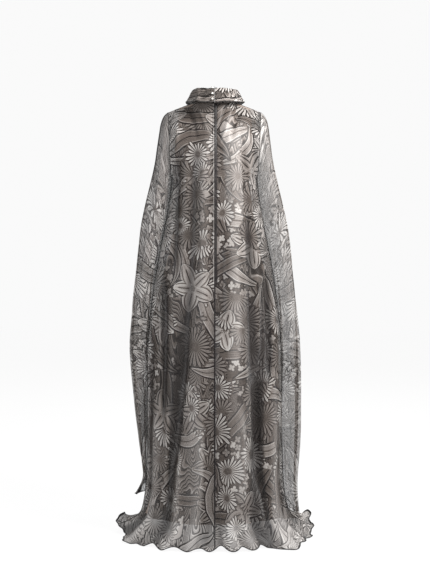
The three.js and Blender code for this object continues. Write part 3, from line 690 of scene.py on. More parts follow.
def longLeaf(name, length, half, cell, shift, bend=3.0, pale=0.5):
    # long bent leaves in outline, with a middle vein and lengthwise strokes
    tree, end, x, y, chances = motif(name, cell, shift, 1.0)
    run = x / length
    bent = y - (x * x) * (chances[1] - 0.5) * bend * 2
    wide = (run * run * -1 + 1).by("MAXIMUM", 0) ** 0.8 * (chances[2] * 0.4 + 0.6) * half
    edge = bent.by("ABSOLUTE") - wide
    leaf, rim = penLines(edge, soft(run.by("ABSOLUTE"), 1.02, 0.99))
    lit = soft(edge, -0.0026, -0.0036) * soft(edge, -0.0072, -0.0056)
    strokes = soft((bent * 1150 + x * 60).by("SINE"), 0.1, 0.8) * soft(wide, 0.006, 0.012)
    vein = soft(bent.by("ABSOLUTE"), 0.0026, 0.0012)
    base = blendOf(tree, 0.28, 0.5, chances[0].above(pale))
    tone = (base + lit * 0.22 - strokes * 0.16 - vein * 0.36).by("MAXIMUM", 0)
    feed(tree, end.inputs["Cover"], leaf.by("MAXIMUM", rim))
    feed(tree, end.inputs["Tone"], blendOf(tree, tone, 0.0, rim))
    return tree


def smallFlorets(name, radius, cell, shift):
    # close heads of small four-lobed flowers
    tree, end, x, y, chances = motif(name, cell, shift, 0.75)
    distance = (x * x + y * y) ** 0.5
    lobes = (y.by("ARCTAN2", x) * 2).by("COSINE").by("ABSOLUTE")
    edge = distance - (lobes * 0.42 + 0.58) * radius
    leaf = soft(edge, pen["soft"], -pen["soft"])
    rim = soft(edge.by("ABSOLUTE"), 0.003, 0.0016)
    cross = soft(lobes, 0.25, 0.08) * soft(distance, radius * 0.65, radius * 0.5)
    tone = (leaf * (chances[2] * 0.35 + 0.42) - cross * 0.4).by("MAXIMUM", 0.16)
    feed(tree, end.inputs["Cover"], 1.0)
    feed(tree, end.inputs["Tone"], tone - rim * 0.36)
    return tree


def noiseOf(tree, vector, scale, detail=2.0, rough=0.5):
    fed = {"Vector": vector, "Scale": scale, "Detail": detail, "Roughness": rough}
    return Sum(tree, makeNode(tree, "ShaderNodeTexNoise", fed).outputs["Fac"])


def floralPrint():
    # the whole print: a tone from dark line (0) to light petal (1)
    inputs = [("Vector", "Vector", None), ("Shift", "Float", 0.0)]
    tree, given, end = newGroup("floralPrint", inputs, [("Tone", "Float")])
    vector = vectorBy(tree, "ADD", given["Vector"], joined(tree, given["Shift"], given["Shift"] * 0.37))
    wander = makeNode(tree, "ShaderNodeTexNoise", {"Vector": vector, "Scale": 9, "Detail": 1})
    swing = vectorBy(tree, "SUBTRACT", wander.outputs["Color"], (0.5, 0.5, 0.5))
    vector = vectorBy(tree, "ADD", vector, vectorBy(tree, "SCALE", swing, 0.03))
    # flowing strokes, with bare patches between them
    flowing = vectorBy(tree, "MULTIPLY", vector, (2.2, 0.6, 1))
    stroke = (noiseOf(tree, flowing, 6, 1) * 34).by("FRACT") - 0.5
    tone = soft(stroke.by("ABSOLUTE"), 0.2, 0.34) * -0.27 + 0.31
    tone = tone + soft((stroke - 0.2).by("ABSOLUTE"), 0.1, 0.03) * 0.28
    patch = soft(noiseOf(tree, vector, 5.2, 0.5), 0.6, 0.61)
    outline = soft((noiseOf(tree, vector, 5.2, 0.5) - 0.602).by("ABSOLUTE"), 0.011, 0.005)
    tone = blendOf(tree, blendOf(tree, tone, 0.5, patch), 0.05, outline)
    # the motifs from the lowest layer up: the tree, and the scale and threshold of the patches that it grows in
    layers = [
        (smallFlorets("headOfFlorets", 0.0145, 0.029, 2.2), (4.0, 0.54)),
        (longLeaf("reedLeaf", 0.15, 0.03, 0.19, 3.1), None),
        (openFlower("sixPetal", 6, 0.084, 0.2, 11.3, 0.34, 0.8), None),
        (longLeaf("willowLeaf", 0.12, 0.026, 0.16, 9.7, 5.0, 0.4), None),
        (starFlower("largeAster", 24, 0.078, 0.132, 1.7), (2.6, 0.44)),
        (longLeaf("bladeLeaf", 0.14, 0.03, 0.27, 12.9, 4.0, 0.6), None),
        (openFlower("fivePetal", 5, 0.09, 0.3, 7.9, 0.42, 0.8), None),
        (starFlower("smallAster", 19, 0.06, 0.104, 5.3, 0.5), (3.3, 0.5)),
    ]
    for group, region in layers:
        placed = placeGroup(tree, group, Vector=vector)
        cover = placed["Cover"]
        if region:
            cover = cover * soft(noiseOf(tree, vector, region[0], 0), region[1], region[1] + 0.012)
        tone = blendOf(tree, tone, placed["Tone"], cover)
    feed(tree, end.inputs["Tone"], tone)
    return tree


def wovenThreads():
    # crossing threads: a height for bump, and the slubs where they run thick or thin
    inputs = [("Vector", "Vector", None), ("Pitch", "Float", 0.0006)]
    tree, given, end = newGroup("wovenThreads", inputs, [("Height", "Float"), ("Slub", "Float")])
    turns = given["Pitch"].by("MAXIMUM", 0.0001) ** -1 * 6.2832
    warp, weft = ((place * turns).by("SINE") for place in apart(tree, given["Vector"])[:2])
    feed(tree, end.inputs["Height"], warp * weft * 0.5 + 0.5)
    stretched = vectorBy(tree, "MULTIPLY", given["Vector"], (520, 26, 1))
    crossed = vectorBy(tree, "MULTIPLY", given["Vector"], (22, 430, 1))
    feed(tree, end.inputs["Slub"], (noiseOf(tree, stretched, 1, 1) + noiseOf(tree, crossed, 1, 1)) * 0.5)
    return tree


def wateredShimmer():
    # the soft mottling of two sheer layers seen together
    tree, given, end = newGroup("wateredShimmer", [("Vector", "Vector", None)], [("Mask", "Float")])
    stretched = vectorBy(tree, "MULTIPLY", given["Vector"], (1, 0.55, 1))
    mottle = noiseOf(tree, stretched, 62, 2, 0.6)
    rings = ((noiseOf(tree, stretched, 14, 1) * 30 + mottle * 3).by("SINE") * 0.5 + 0.5)
    feed(tree, end.inputs["Mask"], blendOf(tree, soft(mottle, 0.35, 0.68), rings, 0.35))
    return tree


printGroup, weaveGroup, shimmerGroup = floralPrint(), wovenThreads(), wateredShimmer()


def rgb(red, green, blue):
    # from screen values of 0 to 255 to the linear colour that the shader takes
    linear = (((c / 255 + 0.055) / 1.055) ** 2.4 if c > 10 else c / 3294.6 for c in (red, green, blue))
    return (*linear, 1)


def newMaterial(name, roughness, specular=0.5):
    material = bpy.data.materials.new(name)
    material.use_nodes = True
    tree = material.node_tree
    shader = tree.nodes["Principled BSDF"]
    feedAll(tree, shader, {"Roughness": roughness, "Specular IOR Level": specular})
    return material, tree, shader


def ramp(tree, value, stops):
    node = makeNode(tree, "ShaderNodeValToRGB", {0: value})
    while len(node.color_ramp.elements) < len(stops):
        node.color_ramp.elements.new(0.5)
    for element, (place, colour) in zip(node.color_ramp.elements, stops):
        element.position, element.color = place, colour
    return node.outputs["Color"]


def tint(tree, colour, other, share):
    fed = {"Factor": share, "A": colour, "B": other}
    return makeNode(tree, "ShaderNodeMix", fed, data_type="RGBA").outputs["Result"]


def clothPlace(tree):
    # the place on the cloth, in metres along its threads
    place = makeNode(tree, "ShaderNodeUVMap", uv_map="cloth").outputs[0]
    return place, *apart(tree, place)[:2]


def bump(tree, shader, height, strength, distance):
    fed = {"Strength": strength, "Distance": distance, "Height": height}
    feed(tree, shader.inputs["Normal"], makeNode(tree, "ShaderNodeBump", fed).outputs[0])


printColours = [
    (0.0, rgb(26, 23, 22)), (0.1, rgb(50, 45, 42)), (0.3, rgb(94, 87, 82)), (0.6, rgb(146, 140, 136)),
    (0.85, rgb(182, 178, 174)), (1.0, rgb(202, 199, 196)),
]


# how much folds, seams and edges tone the sheer cloth, and how much of the light they hold back; the folds'
# dark is painted shade in their valleys and their pale is a painted highlight on their ridges
foldShadeAndHighlight = {
    "dark": rgb(26, 23, 23), "pale": rgb(214, 209, 206), "drawn": 0.8, "proud": 0.16, "petals": 0.22,
    "cover": 0.82,
}
# beside the seams the dark is doubled cloth, and partly painted shade beside the zip; the pale is a painted
# highlight on the rolled lip
seamTone = {"dark": rgb(24, 21, 21), "pale": rgb(176, 171, 167), "turned": 0.94, "lip": 0.3, "cover": 0.85}
edgeTone = {"dark": rgb(20, 18, 18), "turned": 0.9, "cover": 0.9}


def organza(name, shift, veil=0.38, body=0.46, line=0.8, lift=0.0, shimmer=0.0, coarse=0.1, hem=0.2, seam=None,
            edge=None):
    # sheer printed cloth: veil, body and line are the share of light that one face holds back in the ground,
    # the petals and the lines
    material, tree, shader = newMaterial(name, 0.45, 0.22)
    vector, across, up = clothPlace(tree)
    tone = placeGroup(tree, printGroup, Vector=vector, Shift=shift)["Tone"]
    threads = placeGroup(tree, weaveGroup, Vector=vector, Pitch=0.0007)
    slub = threads["Slub"] - 0.5
    folded = Sum(tree, makeNode(tree, "ShaderNodeAttribute", attribute_name="foldShadeDepth").outputs["Fac"])
    tone = (tone + slub * coarse + lift).by("MAXIMUM", 0)
    opacity = blendOf(tree, line, veil, soft(tone, 0.0, 0.09))
    opacity = blendOf(tree, opacity, body, soft(tone, 0.25, 0.6))
    opacity = opacity + slub * coarse + soft(up, 0.17, 0.1) * hem
    if shimmer:
        mask = placeGroup(tree, shimmerGroup, Vector=vector)["Mask"]
        tone = tone + (mask - 0.5) * shimmer
        opacity = opacity - (mask - 0.5) * shimmer * 0.35
    # painted shade in the fold valleys and a painted highlight on the fold ridges, from the fold depth that the
    # mesh carries
    drawn, proud = soft(folded, -0.1, -1.0), soft(folded, 0.1, 1.0)
    tone = tone + proud * soft(tone, 0.08, 0.3) * foldShadeAndHighlight["petals"]
    colour = ramp(tree, tone, printColours)
    # drawn-in cloth lies in more layers, so it is less sheer, and it is darkened with painted shade; where it
    # stands proud it is a little clearer and gets a painted highlight
    colour = tint(tree, colour, foldShadeAndHighlight["dark"], drawn * foldShadeAndHighlight["drawn"])
    colour = tint(tree, colour, foldShadeAndHighlight["pale"], proud * foldShadeAndHighlight["proud"])
    opacity = blendOf(tree, opacity, foldShadeAndHighlight["cover"], drawn * 0.6) - proud * 0.02
    if seam:
        # cloth turned in beside the seam is doubled, so it is darker and less sheer; beside the zip that dark
        # band is partly painted shade, and the rolled lip gets a painted highlight
        beside, lip = seam(across, up)
        colour = tint(tree, colour, seamTone["dark"], beside * seamTone["turned"])
        if lip:
            colour = tint(tree, colour, seamTone["pale"], lip * seamTone["lip"])
            beside = beside.by("MAXIMUM", lip)
        opacity = blendOf(tree, opacity, seamTone["cover"], beside)
    if edge:
        turned = edge(across, up)
        colour = tint(tree, colour, edgeTone["dark"], turned * edgeTone["turned"])
        opacity = blendOf(tree, opacity, edgeTone["cover"], turned)
    sheen = {"Sheen Weight": 0.04, "Sheen Roughness": 0.4}
    feedAll(tree, shader, {"Base Color": colour, "Alpha": opacity.by("MINIMUM", 1), **sheen})
    bump(tree, shader, threads["Height"] + threads["Slub"] * 0.6, 0.22, 0.0003)
    return material


def plainCloth(name, colour, worn, roughness, pitch, strength=0.35):
    material, tree, shader = newMaterial(name, roughness, 0.3)
    vector = clothPlace(tree)[0]
    threads = placeGroup(tree, weaveGroup, Vector=vector, Pitch=pitch)
    shade = soft(noiseOf(tree, vector, 6, 3, 0.6), 0.3, 0.75)
    mixed = tint(tree, colour, worn, shade)
    mixed = tint(tree, mixed, rgb(90, 80, 74), (threads["Slub"] - 0.35).by("MAXIMUM", 0) * 0.8)
    feedAll(tree, shader, {"Base Color": mixed, "Roughness": shade * 0.15 + roughness})
    bump(tree, shader, threads["Height"] + threads["Slub"], strength, 0.0004)
    return material


def trimMaterial(name, colour, other, roughness, grain, stretch=(1, 1, 1), coat=0.0, alpha=1.0):
    material, tree, shader = newMaterial(name, roughness)
    place = tree.nodes.new("ShaderNodeTexCoord").outputs["Object"]
    shade = noiseOf(tree, vectorBy(tree, "MULTIPLY", place, stretch), grain, 3, 0.6)
    worn = tint(tree, colour, other, soft(shade, 0.3, 0.7))
    fed = {"Base Color": worn, "Roughness": shade * 0.2 + (roughness - 0.1), "Coat Weight": coat}
    feedAll(tree, shader, fed)
    if alpha < 1:
        feed(tree, shader.inputs["Alpha"], (shade - 0.5) * 0.3 + alpha)
    bump(tree, shader, shade, 0.3, 0.0004)
    return material


# beside seams and edges: where a turning starts to fade and where it ends, in metres of cloth
turnings = {
    "zip": (0.0132, 0.0095), "zipLine": (0.0046, 0.003), "seam": (0.0026, 0.0014), "hem": (0.0062, 0.0046),
    "overarm": (0.014, 0.006), "zipEnd": (0.93, 0.95), "rightSide": 1.7,
}


def zipSide(across, up):
    # the turned-in cloth over the zip, on the wearer's right of the centre back, down to the hip; its dark band
    # is partly doubled cloth and partly painted shade
    beside = (across - turnings["rightSide"]).by("ABSOLUTE")
    wide = soft(beside, *turnings["zip"]) * soft(up, *turnings["zipEnd"])
    return wide.by("MAXIMUM", soft(beside, *turnings["zipLine"])), None


def seamSide(across, up):
    # the seam on the wearer's left of the centre back, with a painted highlight on the rolled lip beside the
    # zip
    beside = across.by("ABSOLUTE")
    lip = soft(beside, 0.0052, 0.0036) * soft(beside, 0.001, 0.002)
    return soft(beside, *turnings["seam"]), lip * soft(up, *turnings["zipEnd"]) * soft(up, 1.52, 1.46)


def hemTurn(across, up):
    # the narrow turning of the hem
    return soft(up, *turnings["hem"])


def overarmTurn(across, up):
    # the seam allowance inside the overarm seam
    return soft(across.by("ABSOLUTE"), *turnings["overarm"])


sleeveLook = {"line": 0.9, "shimmer": 0.1, "coarse": 0.05, "hem": 0, "edge": overarmTurn}
looks = {
    "backLeft": organza("printedOrganzaLeft", 0.0, seam=seamSide, edge=hemTurn),
    "backRight": organza("printedOrganzaRight", 0.31, seam=zipSide, edge=hemTurn),
    "front": organza("printedOrganzaFront", 4.7, edge=hemTurn),
    # the right sleeve's copy is lighter and sheerer than the left's: painted light for the side the lamps fall
    # on
    "sleeveLeft": organza("printedOrganzaSleeveLeft", 2.3, 0.45, 0.38, lift=0.05, **sleeveLook),
    "sleeveRight": organza("printedOrganzaSleeveRight", 2.3, 0.37, 0.28, lift=0.1, **sleeveLook),
    "collar": organza("printedOrganzaCollar", 6.1, 0.8, 0.82, 0.9, lift=-0.1, hem=0),
    "slip": plainCloth("slipCloth", rgb(122, 109, 101), rgb(137, 124, 116), 0.62, 0.0009),
    "edge": trimMaterial("rolledEdge", rgb(20, 18, 18), rgb(48, 44, 43), 0.6, 900, (1, 1, 2.5), alpha=0.94),
    "stitch": trimMaterial("sewingThread", rgb(44, 41, 40), rgb(96, 91, 88), 0.45, 2600),
    "cord": trimMaterial("loopCord", rgb(24, 23, 24), rgb(62, 59, 58), 0.55, 1500, (1, 3, 1)),
    "pearl": trimMaterial("pearl", rgb(214, 209, 201), rgb(238, 234, 228), 0.22, 160, coat=0.7),
    "tape": trimMaterial("wovenTape", rgb(48, 44, 42), rgb(80, 75, 71), 0.62, 1200, (1, 1, 4)),
    "coil": trimMaterial("zipCoil", rgb(38, 36, 36), rgb(92, 88, 85), 0.35, 2000),
}
print("materials ready")


# ---- Geometry Nodes that make what runs along a path


def newTree(name, inputs):
    shape = [("Geometry", "Geometry", None)]
    inputs = shape + inputs + [("Material", "Material", None)]
    return newGroup(name, inputs, [("Geometry", "Geometry")], "GeometryNodeTree")


def paintGrown(tree, given, end, grown):
    # makes what has grown real and gives it the material
    real = makeNode(tree, "GeometryNodeRealizeInstances", {"Geometry": grown})
    fed = {"Geometry": real.outputs["Geometry"], "Material": given["Material"]}
    feed(tree, end.inputs["Geometry"], makeNode(tree, "GeometryNodeSetMaterial", fed).outputs["Geometry"])


def cordTree():
    # a round cord along a path
    tree, given, end = newTree("cordAlongPath", [("Radius", "Float", 0.001), ("Sides", "Int", 8)])
    path = makeNode(tree, "GeometryNodeMeshToCurve", {"Mesh": given["Geometry"]})
    fed = {"Radius": given["Radius"], "Resolution": given["Sides"]}
    ring = makeNode(tree, "GeometryNodeCurvePrimitiveCircle", fed)
    fed = {"Curve": path.outputs["Curve"], "Profile Curve": ring.outputs["Curve"], "Fill Caps": True}
    paintGrown(tree, given, end, makeNode(tree, "GeometryNodeCurveToMesh", fed).outputs["Mesh"])
    return tree


def beadTree():
    # long beads at even steps along a path: sewing stitches, or the teeth of a coil
    tree, given, end = newTree("beadsAlongPath", [
        ("Step", "Float", 0.004), ("Half Length", "Float", 0.0013), ("Radius", "Float", 0.0003),
        ("Across", "Float", 0.0),
    ])
    path = makeNode(tree, "GeometryNodeMeshToCurve", {"Mesh": given["Geometry"]})
    fed = {"Curve": path.outputs["Curve"], "Length": given["Step"]}
    points = makeNode(tree, "GeometryNodeCurveToPoints", fed, mode="LENGTH")
    bead = makeNode(tree, "GeometryNodeMeshUVSphere", {"Segments": 6, "Rings": 4, "Radius": 1})
    fed = {0: given["Radius"], 1: given["Radius"], 2: given["Half Length"]}
    size = makeNode(tree, "ShaderNodeCombineXYZ", fed)
    # each bead lies along the path, and Across tips it out of that line
    lying = makeNode(tree, "FunctionNodeAlignRotationToVector", {"Vector": points.outputs["Tangent"]}, axis="Z")
    tip = makeNode(tree, "FunctionNodeEulerToRotation", {0: joined(tree, given["Across"], 0)})
    fed = {"Rotation": lying.outputs[0], "Rotate By": tip.outputs[0]}
    tipped = makeNode(tree, "FunctionNodeRotateRotation", fed, rotation_space="LOCAL")
    placed = makeNode(tree, "GeometryNodeInstanceOnPoints", {
        "Points": points.outputs["Points"], "Instance": bead.outputs["Mesh"],
        "Rotation": tipped.outputs[0], "Scale": size.outputs[0],
    })
    paintGrown(tree, given, end, placed.outputs["Instances"])
    return tree


cordNodes, beadNodes = cordTree(), beadTree()


def runAlong(name, paths, tree, material, slotName, replaced=(), closed=False, **values):
    # grows the tree along every path, given in millimetres, and keeps the result as a plain mesh
    vertices, edges = [], []
    for path in paths:
        first = len(vertices)
        vertices += toMetres(np.asarray(path)).tolist()
        edges += [(first + k, first + k + 1) for k in range(len(path) - 1)]
        if closed:
            edges.append((len(vertices) - 1, first))
    guide = bpy.data.meshes.new(name + "Path")
    guide.from_pydata(vertices, edges, [])
    holder = bpy.data.objects.new(name + "Path", guide)
    bpy.context.collection.objects.link(holder)
    modifier = holder.modifiers.new("grow", "NODES")
    modifier.node_group = tree
    labels = {entry.name: entry.identifier for entry in tree.interface.items_tree if entry.in_out == "INPUT"}
    for label, value in {**values, "Material": material}.items():
        modifier[labels[label.replace("_", " ")]] = value
    mesh = bpy.data.meshes.new_from_object(holder.evaluated_get(bpy.context.evaluated_depsgraph_get()))
    holder.modifiers.clear()
    bpy.data.objects.remove(holder)
    mesh.name = name
    mesh.shade_smooth()
    return addPiece(name, mesh, material, replaced)


# ---- the panels, sleeves, lining and collar

clothWalls = {"organza": 0.7, "slip": 0.8, "collar": 1.0}
upRows = np.concatenate([
    np.linspace(0, 3, 34)[:-1], np.linspace(3, underarm, 150)[:-1], np.linspace(underarm, underarm + 1, 44),
])


def soften(points, hint, amount, ring=False):
    # moves the cloth along its normals by the amount at each point
    normals = gridNormals(points, hint, ring)
    return points + normals * amount[..., None]


def bodyGather(face, across, rows, height):
    # how far the form's own folds and flutes draw the cloth in or out, for the painted shade in their valleys
    # and the painted highlight on their ridges
    side = np.where(across < 0, -1, 1)
    angle = across * 90 if face < 0 else side * (180 - np.abs(across) * 90)
    flute = np.maximum(along(body["flute"], np.minimum(rows, underarm)), 0)
    low = rows <= underarm
    _, wave, _, fluteOut = hemRuffle(angle)
    waves = (wave * 0.9 + frill(angle, height) * 1.2) * np.exp(-np.maximum(height, 0) / 60)
    return np.where(low, foldDepth(angle, height) + fluteOut * flute * 0.3 + waves, 0)


# seams hold the creases back over these shares and rows; the ridge is the turned-in edge at the centre back
panelForm = {
    "edgeHold": 0.1, "topHold": 0.12, "middleHold": 0.05, "gatherDepth": 11, "floorGap": 2.4,
    "zipEnd": 940, "ridgeAt": 2.5, "ridgeWide": 2.2, "ridgeLow": 0.6, "ridgeHigh": 2.2,
}


def buildPanel(name, face, columns, fromU, toU, creases, seed, material, replaced, shift=0.0):
    form = panelForm
    across, rows = np.meshgrid(np.linspace(fromU, toU, columns), upRows)
    points = panel(face, across, rows)
    hint = np.array([0, face, 0])
    height = points[..., 2]
    halfPanel = fromU * toU >= 0
    hold = ease((1 - np.abs(across)) / form["edgeHold"]) * ease((underarm + 1 - rows) / form["topHold"])
    if halfPanel:
        hold = hold * ease(np.abs(across) / form["middleHold"])
    amount = creaseDepth(points[..., 0], height, creases) * creaseForm["bodyGain"]
    # the fold depth for the panel's painted fold shade and painted highlight
    foldShadeDepth = (amount * hold + bodyGather(face, across, rows, height)) / form["gatherDepth"]
    amount = amount + unevenness("panel", points[..., 0], height, seed)
    points = soften(points, hint, amount * hold)
    points[..., 2] = np.maximum(points[..., 2], form["floorGap"])
    if halfPanel:
        # the turned-in edges stand a little proud beside the centre back
        proud = mix(form["ridgeLow"], form["ridgeHigh"], ease((height - form["zipEnd"]) / 30))
        points = soften(points, hint, bell(np.abs(points[..., 0]) - form["ridgeAt"], form["ridgeWide"]) * proud)
    normals = gridNormals(points, hint)
    if halfPanel:
        middle = 0 if abs(fromU) < abs(toU) else -1
        normals[:, middle, 0] = 0
    run, up = arcLengths(points)
    centre = run[:, [int(np.argmin(np.abs(across[0])))]]
    uv = np.stack([run - centre + shift, up], axis=-1)
    mesh = clothMesh(name, points, normals, uv, clothWalls["organza"], foldShadeDepth=foldShadeDepth)
    return addPiece(name, mesh, material, replaced), points, uv


sleeveForm = {
    "capHold": 1.6, "innerHold": 900, "gatherDepth": 30, "cuffDepth": 3.0, "cuffRows": 0.35, "cuffWaves": 9,
    "letOut": 0.22, "turnsFrom": 0.86, "turnsOver": 0.12,
}


def buildSleeve(name, side, seed, material, replaced):
    form = sleeveForm
    turns = np.linspace(np.pi, 3 * np.pi, 109)
    last = len(sleeveShape["inner"]) + len(sleeveEnd[side]["inner"]) - 1
    rows = np.concatenate([np.linspace(0, 2, 24)[:-1], np.linspace(2, last, 190)])[::-1]
    turn, row = np.meshgrid(turns, rows)
    points = sleeve(side, turn, row)
    centre = (sleeve(side, np.zeros_like(row), row) + sleeve(side, np.full_like(row, np.pi), row)) / 2
    hint = points - centre
    degrees = np.degrees(turn) % 360
    height = points[..., 2]
    hold = ease(row / form["capHold"]) * ease(turnBetween(degrees, 180) ** 2 / form["innerHold"])
    amount = creaseDepth(degrees, height, sleeveCreases[side], 0.25) * creaseForm["sleeveGain"]
    # the fold depth for the sleeve's painted fold shade and painted highlight
    foldShadeDepth = amount * hold / form["gatherDepth"]
    amount = amount + unevenness("sleeve", degrees, height, seed)
    wave = np.sin(np.radians(degrees) * form["cuffWaves"] + 0.8)
    amount = amount + form["cuffDepth"] * np.exp(-(last - row) / form["cuffRows"]) * wave
    points = soften(points, hint, amount * hold, ring=True)
    points[:, -1] = points[:, 0]
    normals = gridNormals(points, hint, ring=True)
    run, up = arcLengths(points)
    # the print is let out across the pointed sides, where the cloth turns away fastest
    plain = sleeve(side, turn, row)
    step = np.diff(plain, axis=1)
    facing = np.abs(step[..., 1]) / np.maximum(np.hypot(step[..., 0], step[..., 1]), 1e-6)
    share = mix(form["letOut"], 1, ease((facing - form["turnsFrom"]) / form["turnsOver"]))
    across = np.cumsum(np.sqrt(step[..., 0] ** 2 + (step[..., 1] * share) ** 2), axis=1)
    across = np.concatenate([np.zeros_like(across[:, :1]), across], axis=1)
    printed = np.stack([across - across[:, [across.shape[1] // 2]], up], axis=-1)
    mesh = clothMesh(name, points, normals, printed, clothWalls["organza"], ring=True, foldShadeDepth=foldShadeDepth)
    return addPiece(name, mesh, material, replaced), points, np.stack([run, up], axis=-1)


def buildLining(name, face, seed, material, replaced):
    below = np.linspace(slip["hemRow"], underarm - 0.5, 110)[:-1]
    rowsUp = np.concatenate([below, np.linspace(underarm - 0.5, underarm + 1, 36)])
    u, v = np.meshgrid(np.linspace(-1, 1, 121), rowsUp)
    reach = mix(1, slip["armholeShare"], ease(v - underarm + 1.2))
    across = np.abs(u)
    beyond = neck["share"] + (across - neck["share"]) * (reach - neck["share"]) / (1 - neck["share"])
    place = np.where(across < neck["share"], across, beyond)
    points = panel(face, np.sign(u) * place, v, slip["foldShare"], 0)
    chest = ease((v - slip["chestRow"]) / 3) * (1 - ease((v - underarm + 0.6) / 1.2))
    points[..., 0] *= mix(1, slip["chestShare"], chest)
    hint = np.array([0, face, 0])
    hang = mix(slip["inset"], slip["neckInset"], ease((v - underarm - 0.35) / 0.65))
    height = points[..., 2]
    sideHold = ease((1 - across) / panelForm["edgeHold"])
    uneven = unevenness("lining", points[..., 0], height, seed) * sideHold * ease((underarm + 0.6 - v) / 0.6)
    wave = slip["hemWave"] * np.exp(-(v - slip["hemRow"]) / 0.9) * np.sin(u * 21 + 2 * np.sin(u * 5))
    wave = wave * ease((1 - across) / 0.12)
    creases = backCreases if face < 0 else frontCreases
    hold = sideHold * ease((underarm + 1 - v) / panelForm["topHold"]) * ease(across / panelForm["middleHold"])
    drawn = creaseDepth(points[..., 0], height, creases) * creaseForm["bodyGain"] * hold
    points = soften(points, hint, -hang + uneven + wave + drawn)
    normals = gridNormals(points, hint)
    run, up = arcLengths(points)
    uv = np.stack([run - run[:, [60]], up], axis=-1)
    mesh = clothMesh(name, points, normals, uv, clothWalls["slip"])
    return addPiece(name, mesh, material, replaced), points, uv


# drag lines of the collar's fall, slanting down from the roll: where, slant, size, width
collarDrags = [
    (24, 3, 1.6, 5), (48, -4, -1.9, 6), (78, 5, 1.5, 7), (118, -3, -1.6, 8), (160, 4, 1.5, 8),
    (205, -4, -1.5, 8), (246, 4, 1.7, 8), (284, -5, -1.8, 7), (312, 4, 1.8, 6), (337, -3, -1.7, 5),
]


def collarGrid(lead):
    end = math.asin(collarFold["slit"] / neck["half"])
    angle, row = np.meshgrid(np.linspace(end, 2 * np.pi - end, 221), np.linspace(0, 8, 65))
    points = collarMiddle(angle, row)
    normals = np.cross(np.gradient(points, axis=0), np.gradient(points, axis=1))
    normals /= np.linalg.norm(normals, axis=-1, keepdims=True)
    turned = np.degrees(angle)
    hold = ease(row / 1.5) * ease((turned - 4) / 14) * ease((356 - turned) / 14)
    amount = unevenness("collar", turned, row * 8, 71)
    for at, slant, size, wide in collarDrags:
        amount = amount + size * bell(turnBetween(turned, at + slant * (row - 5)), wide) * ease((row - 3.5) / 2)
    points = points + normals * (amount * hold + lead)[..., None]
    return points, normals


liningBack = buildLining("liningBack", -1, 41, looks["slip"], ["lining_back"])
liningFront = buildLining("liningFront", 1, 47, looks["slip"], ["lining_front"])
print("slip lining made")
backLeft = buildPanel("backLeft", -1, 100, -1, 0, backCreases, 11, looks["backLeft"], ["back_left"])
backRight = buildPanel("backRight", -1, 100, 0, 1, backCreases, 17, looks["backRight"], ["back_right"], 1700)
front = buildPanel("frontPanel", 1, 190, -1, 1, frontCreases, 23, looks["front"], ["front"])
print("body panels made")
sleeves = {
    1: buildSleeve("sleeveRight", 1, 29, looks["sleeveRight"], ["sleeve_right"]),
    -1: buildSleeve("sleeveLeft", -1, 35, looks["sleeveLeft"], ["sleeve_left"]),
}
print("sleeves made")
collarPoints, collarNormals = collarGrid(0.5)
collarRun, collarUp = arcLengths(collarPoints)
collarUv = np.stack([collarRun, collarUp], axis=-1)
collarMesh = clothMesh("collarFold", collarPoints, collarNormals, collarUv, clothWalls["collar"], lead=0)
collarPiece = addPiece("collarFold", collarMesh, looks["collar"], ["collar"])
print("collar made")

# ---- rolled edges, seams and stitches

# radii of the rolled edges and seams, and the sewing stitches
edging = {"hem": 1.7, "seam": 1.3, "sleeve": 1.4, "collar": 1.3, "neck": 0.9, "slip": 1.1}
stitching = {"step": 4.2, "half": 1.3, "radius": 0.28, "hemRow": 0.9, "zipEnd": 968, "proud": 0.05}


def edgeRoll(name, paths, radius, sides, closed=False):
    return runAlong(name, paths, cordNodes, looks["edge"], "organza", closed=closed,
                    Radius=radius / 1000, Sides=sides)


def allRound(row):
    # one row of the body's three panels, as a closed path
    return np.concatenate([backLeft[1][row][:-1], backRight[1][row][1:-1], front[1][row][::-1][1:-1]])


def raised(points, by):
    # a path a little above the lower edge, inside the cloth
    return points + np.array([0, 0, by])


hemPath = raised(allRound(0), 0.9)
hemPath[:, 2] = np.maximum(hemPath[:, 2], 2.2)
hem = edgeRoll("rolledHem", [hemPath], edging["hem"], 8, closed=True)
liningHems = [
    runAlong(f"liningHem{word}", [raised(part[1][0], 0.8)], cordNodes, looks["slip"], "slip",
             Radius=edging["slip"] / 1000, Sides=6)
    for word, part in (("Back", liningBack), ("Front", liningFront))
]
for side, word in ((1, "Right"), (-1, "Left")):
    grid = sleeves[side][1]
    centre = grid[:, :-1].mean(axis=1)
    outerColumn = grid.shape[1] // 2
    overarm = grid[:, outerColumn] + (centre - grid[:, outerColumn]) * np.array([1, 1, 0]) * 0.004
    cuff = grid[0][:-1] + (centre[0] - grid[0][:-1]) * 0.01
    edgeRoll(f"cuffEdge{word}", [cuff], edging["sleeve"], 8, closed=True)
    edgeRoll(f"overarmSeam{word}", [overarm[2:]], edging["seam"], 6)
sideSeams = edgeRoll("sideSeams", [backRight[1][6:, -1], backLeft[1][6:, 0]], edging["seam"], 6)
collarEdge = edgeRoll("collarEdge", [collarPoints[-1]], edging["collar"], 8)
neckSeamPiece = edgeRoll("neckSeam", [collarPoints[0] - collarNormals[0] * 0.4], edging["neck"], 6)


def stitches(name, paths, closed=False):
    return runAlong(name, paths, beadNodes, looks["stitch"], "organza", closed=closed,
                    Step=stitching["step"] / 1000, Half_Length=stitching["half"] / 1000,
                    Radius=stitching["radius"] / 1000)


stitchRow = int(np.argmin(np.abs(upRows - stitching["hemRow"])))
hemStitches = stitches("hemStitches", [allRound(stitchRow)], closed=True)
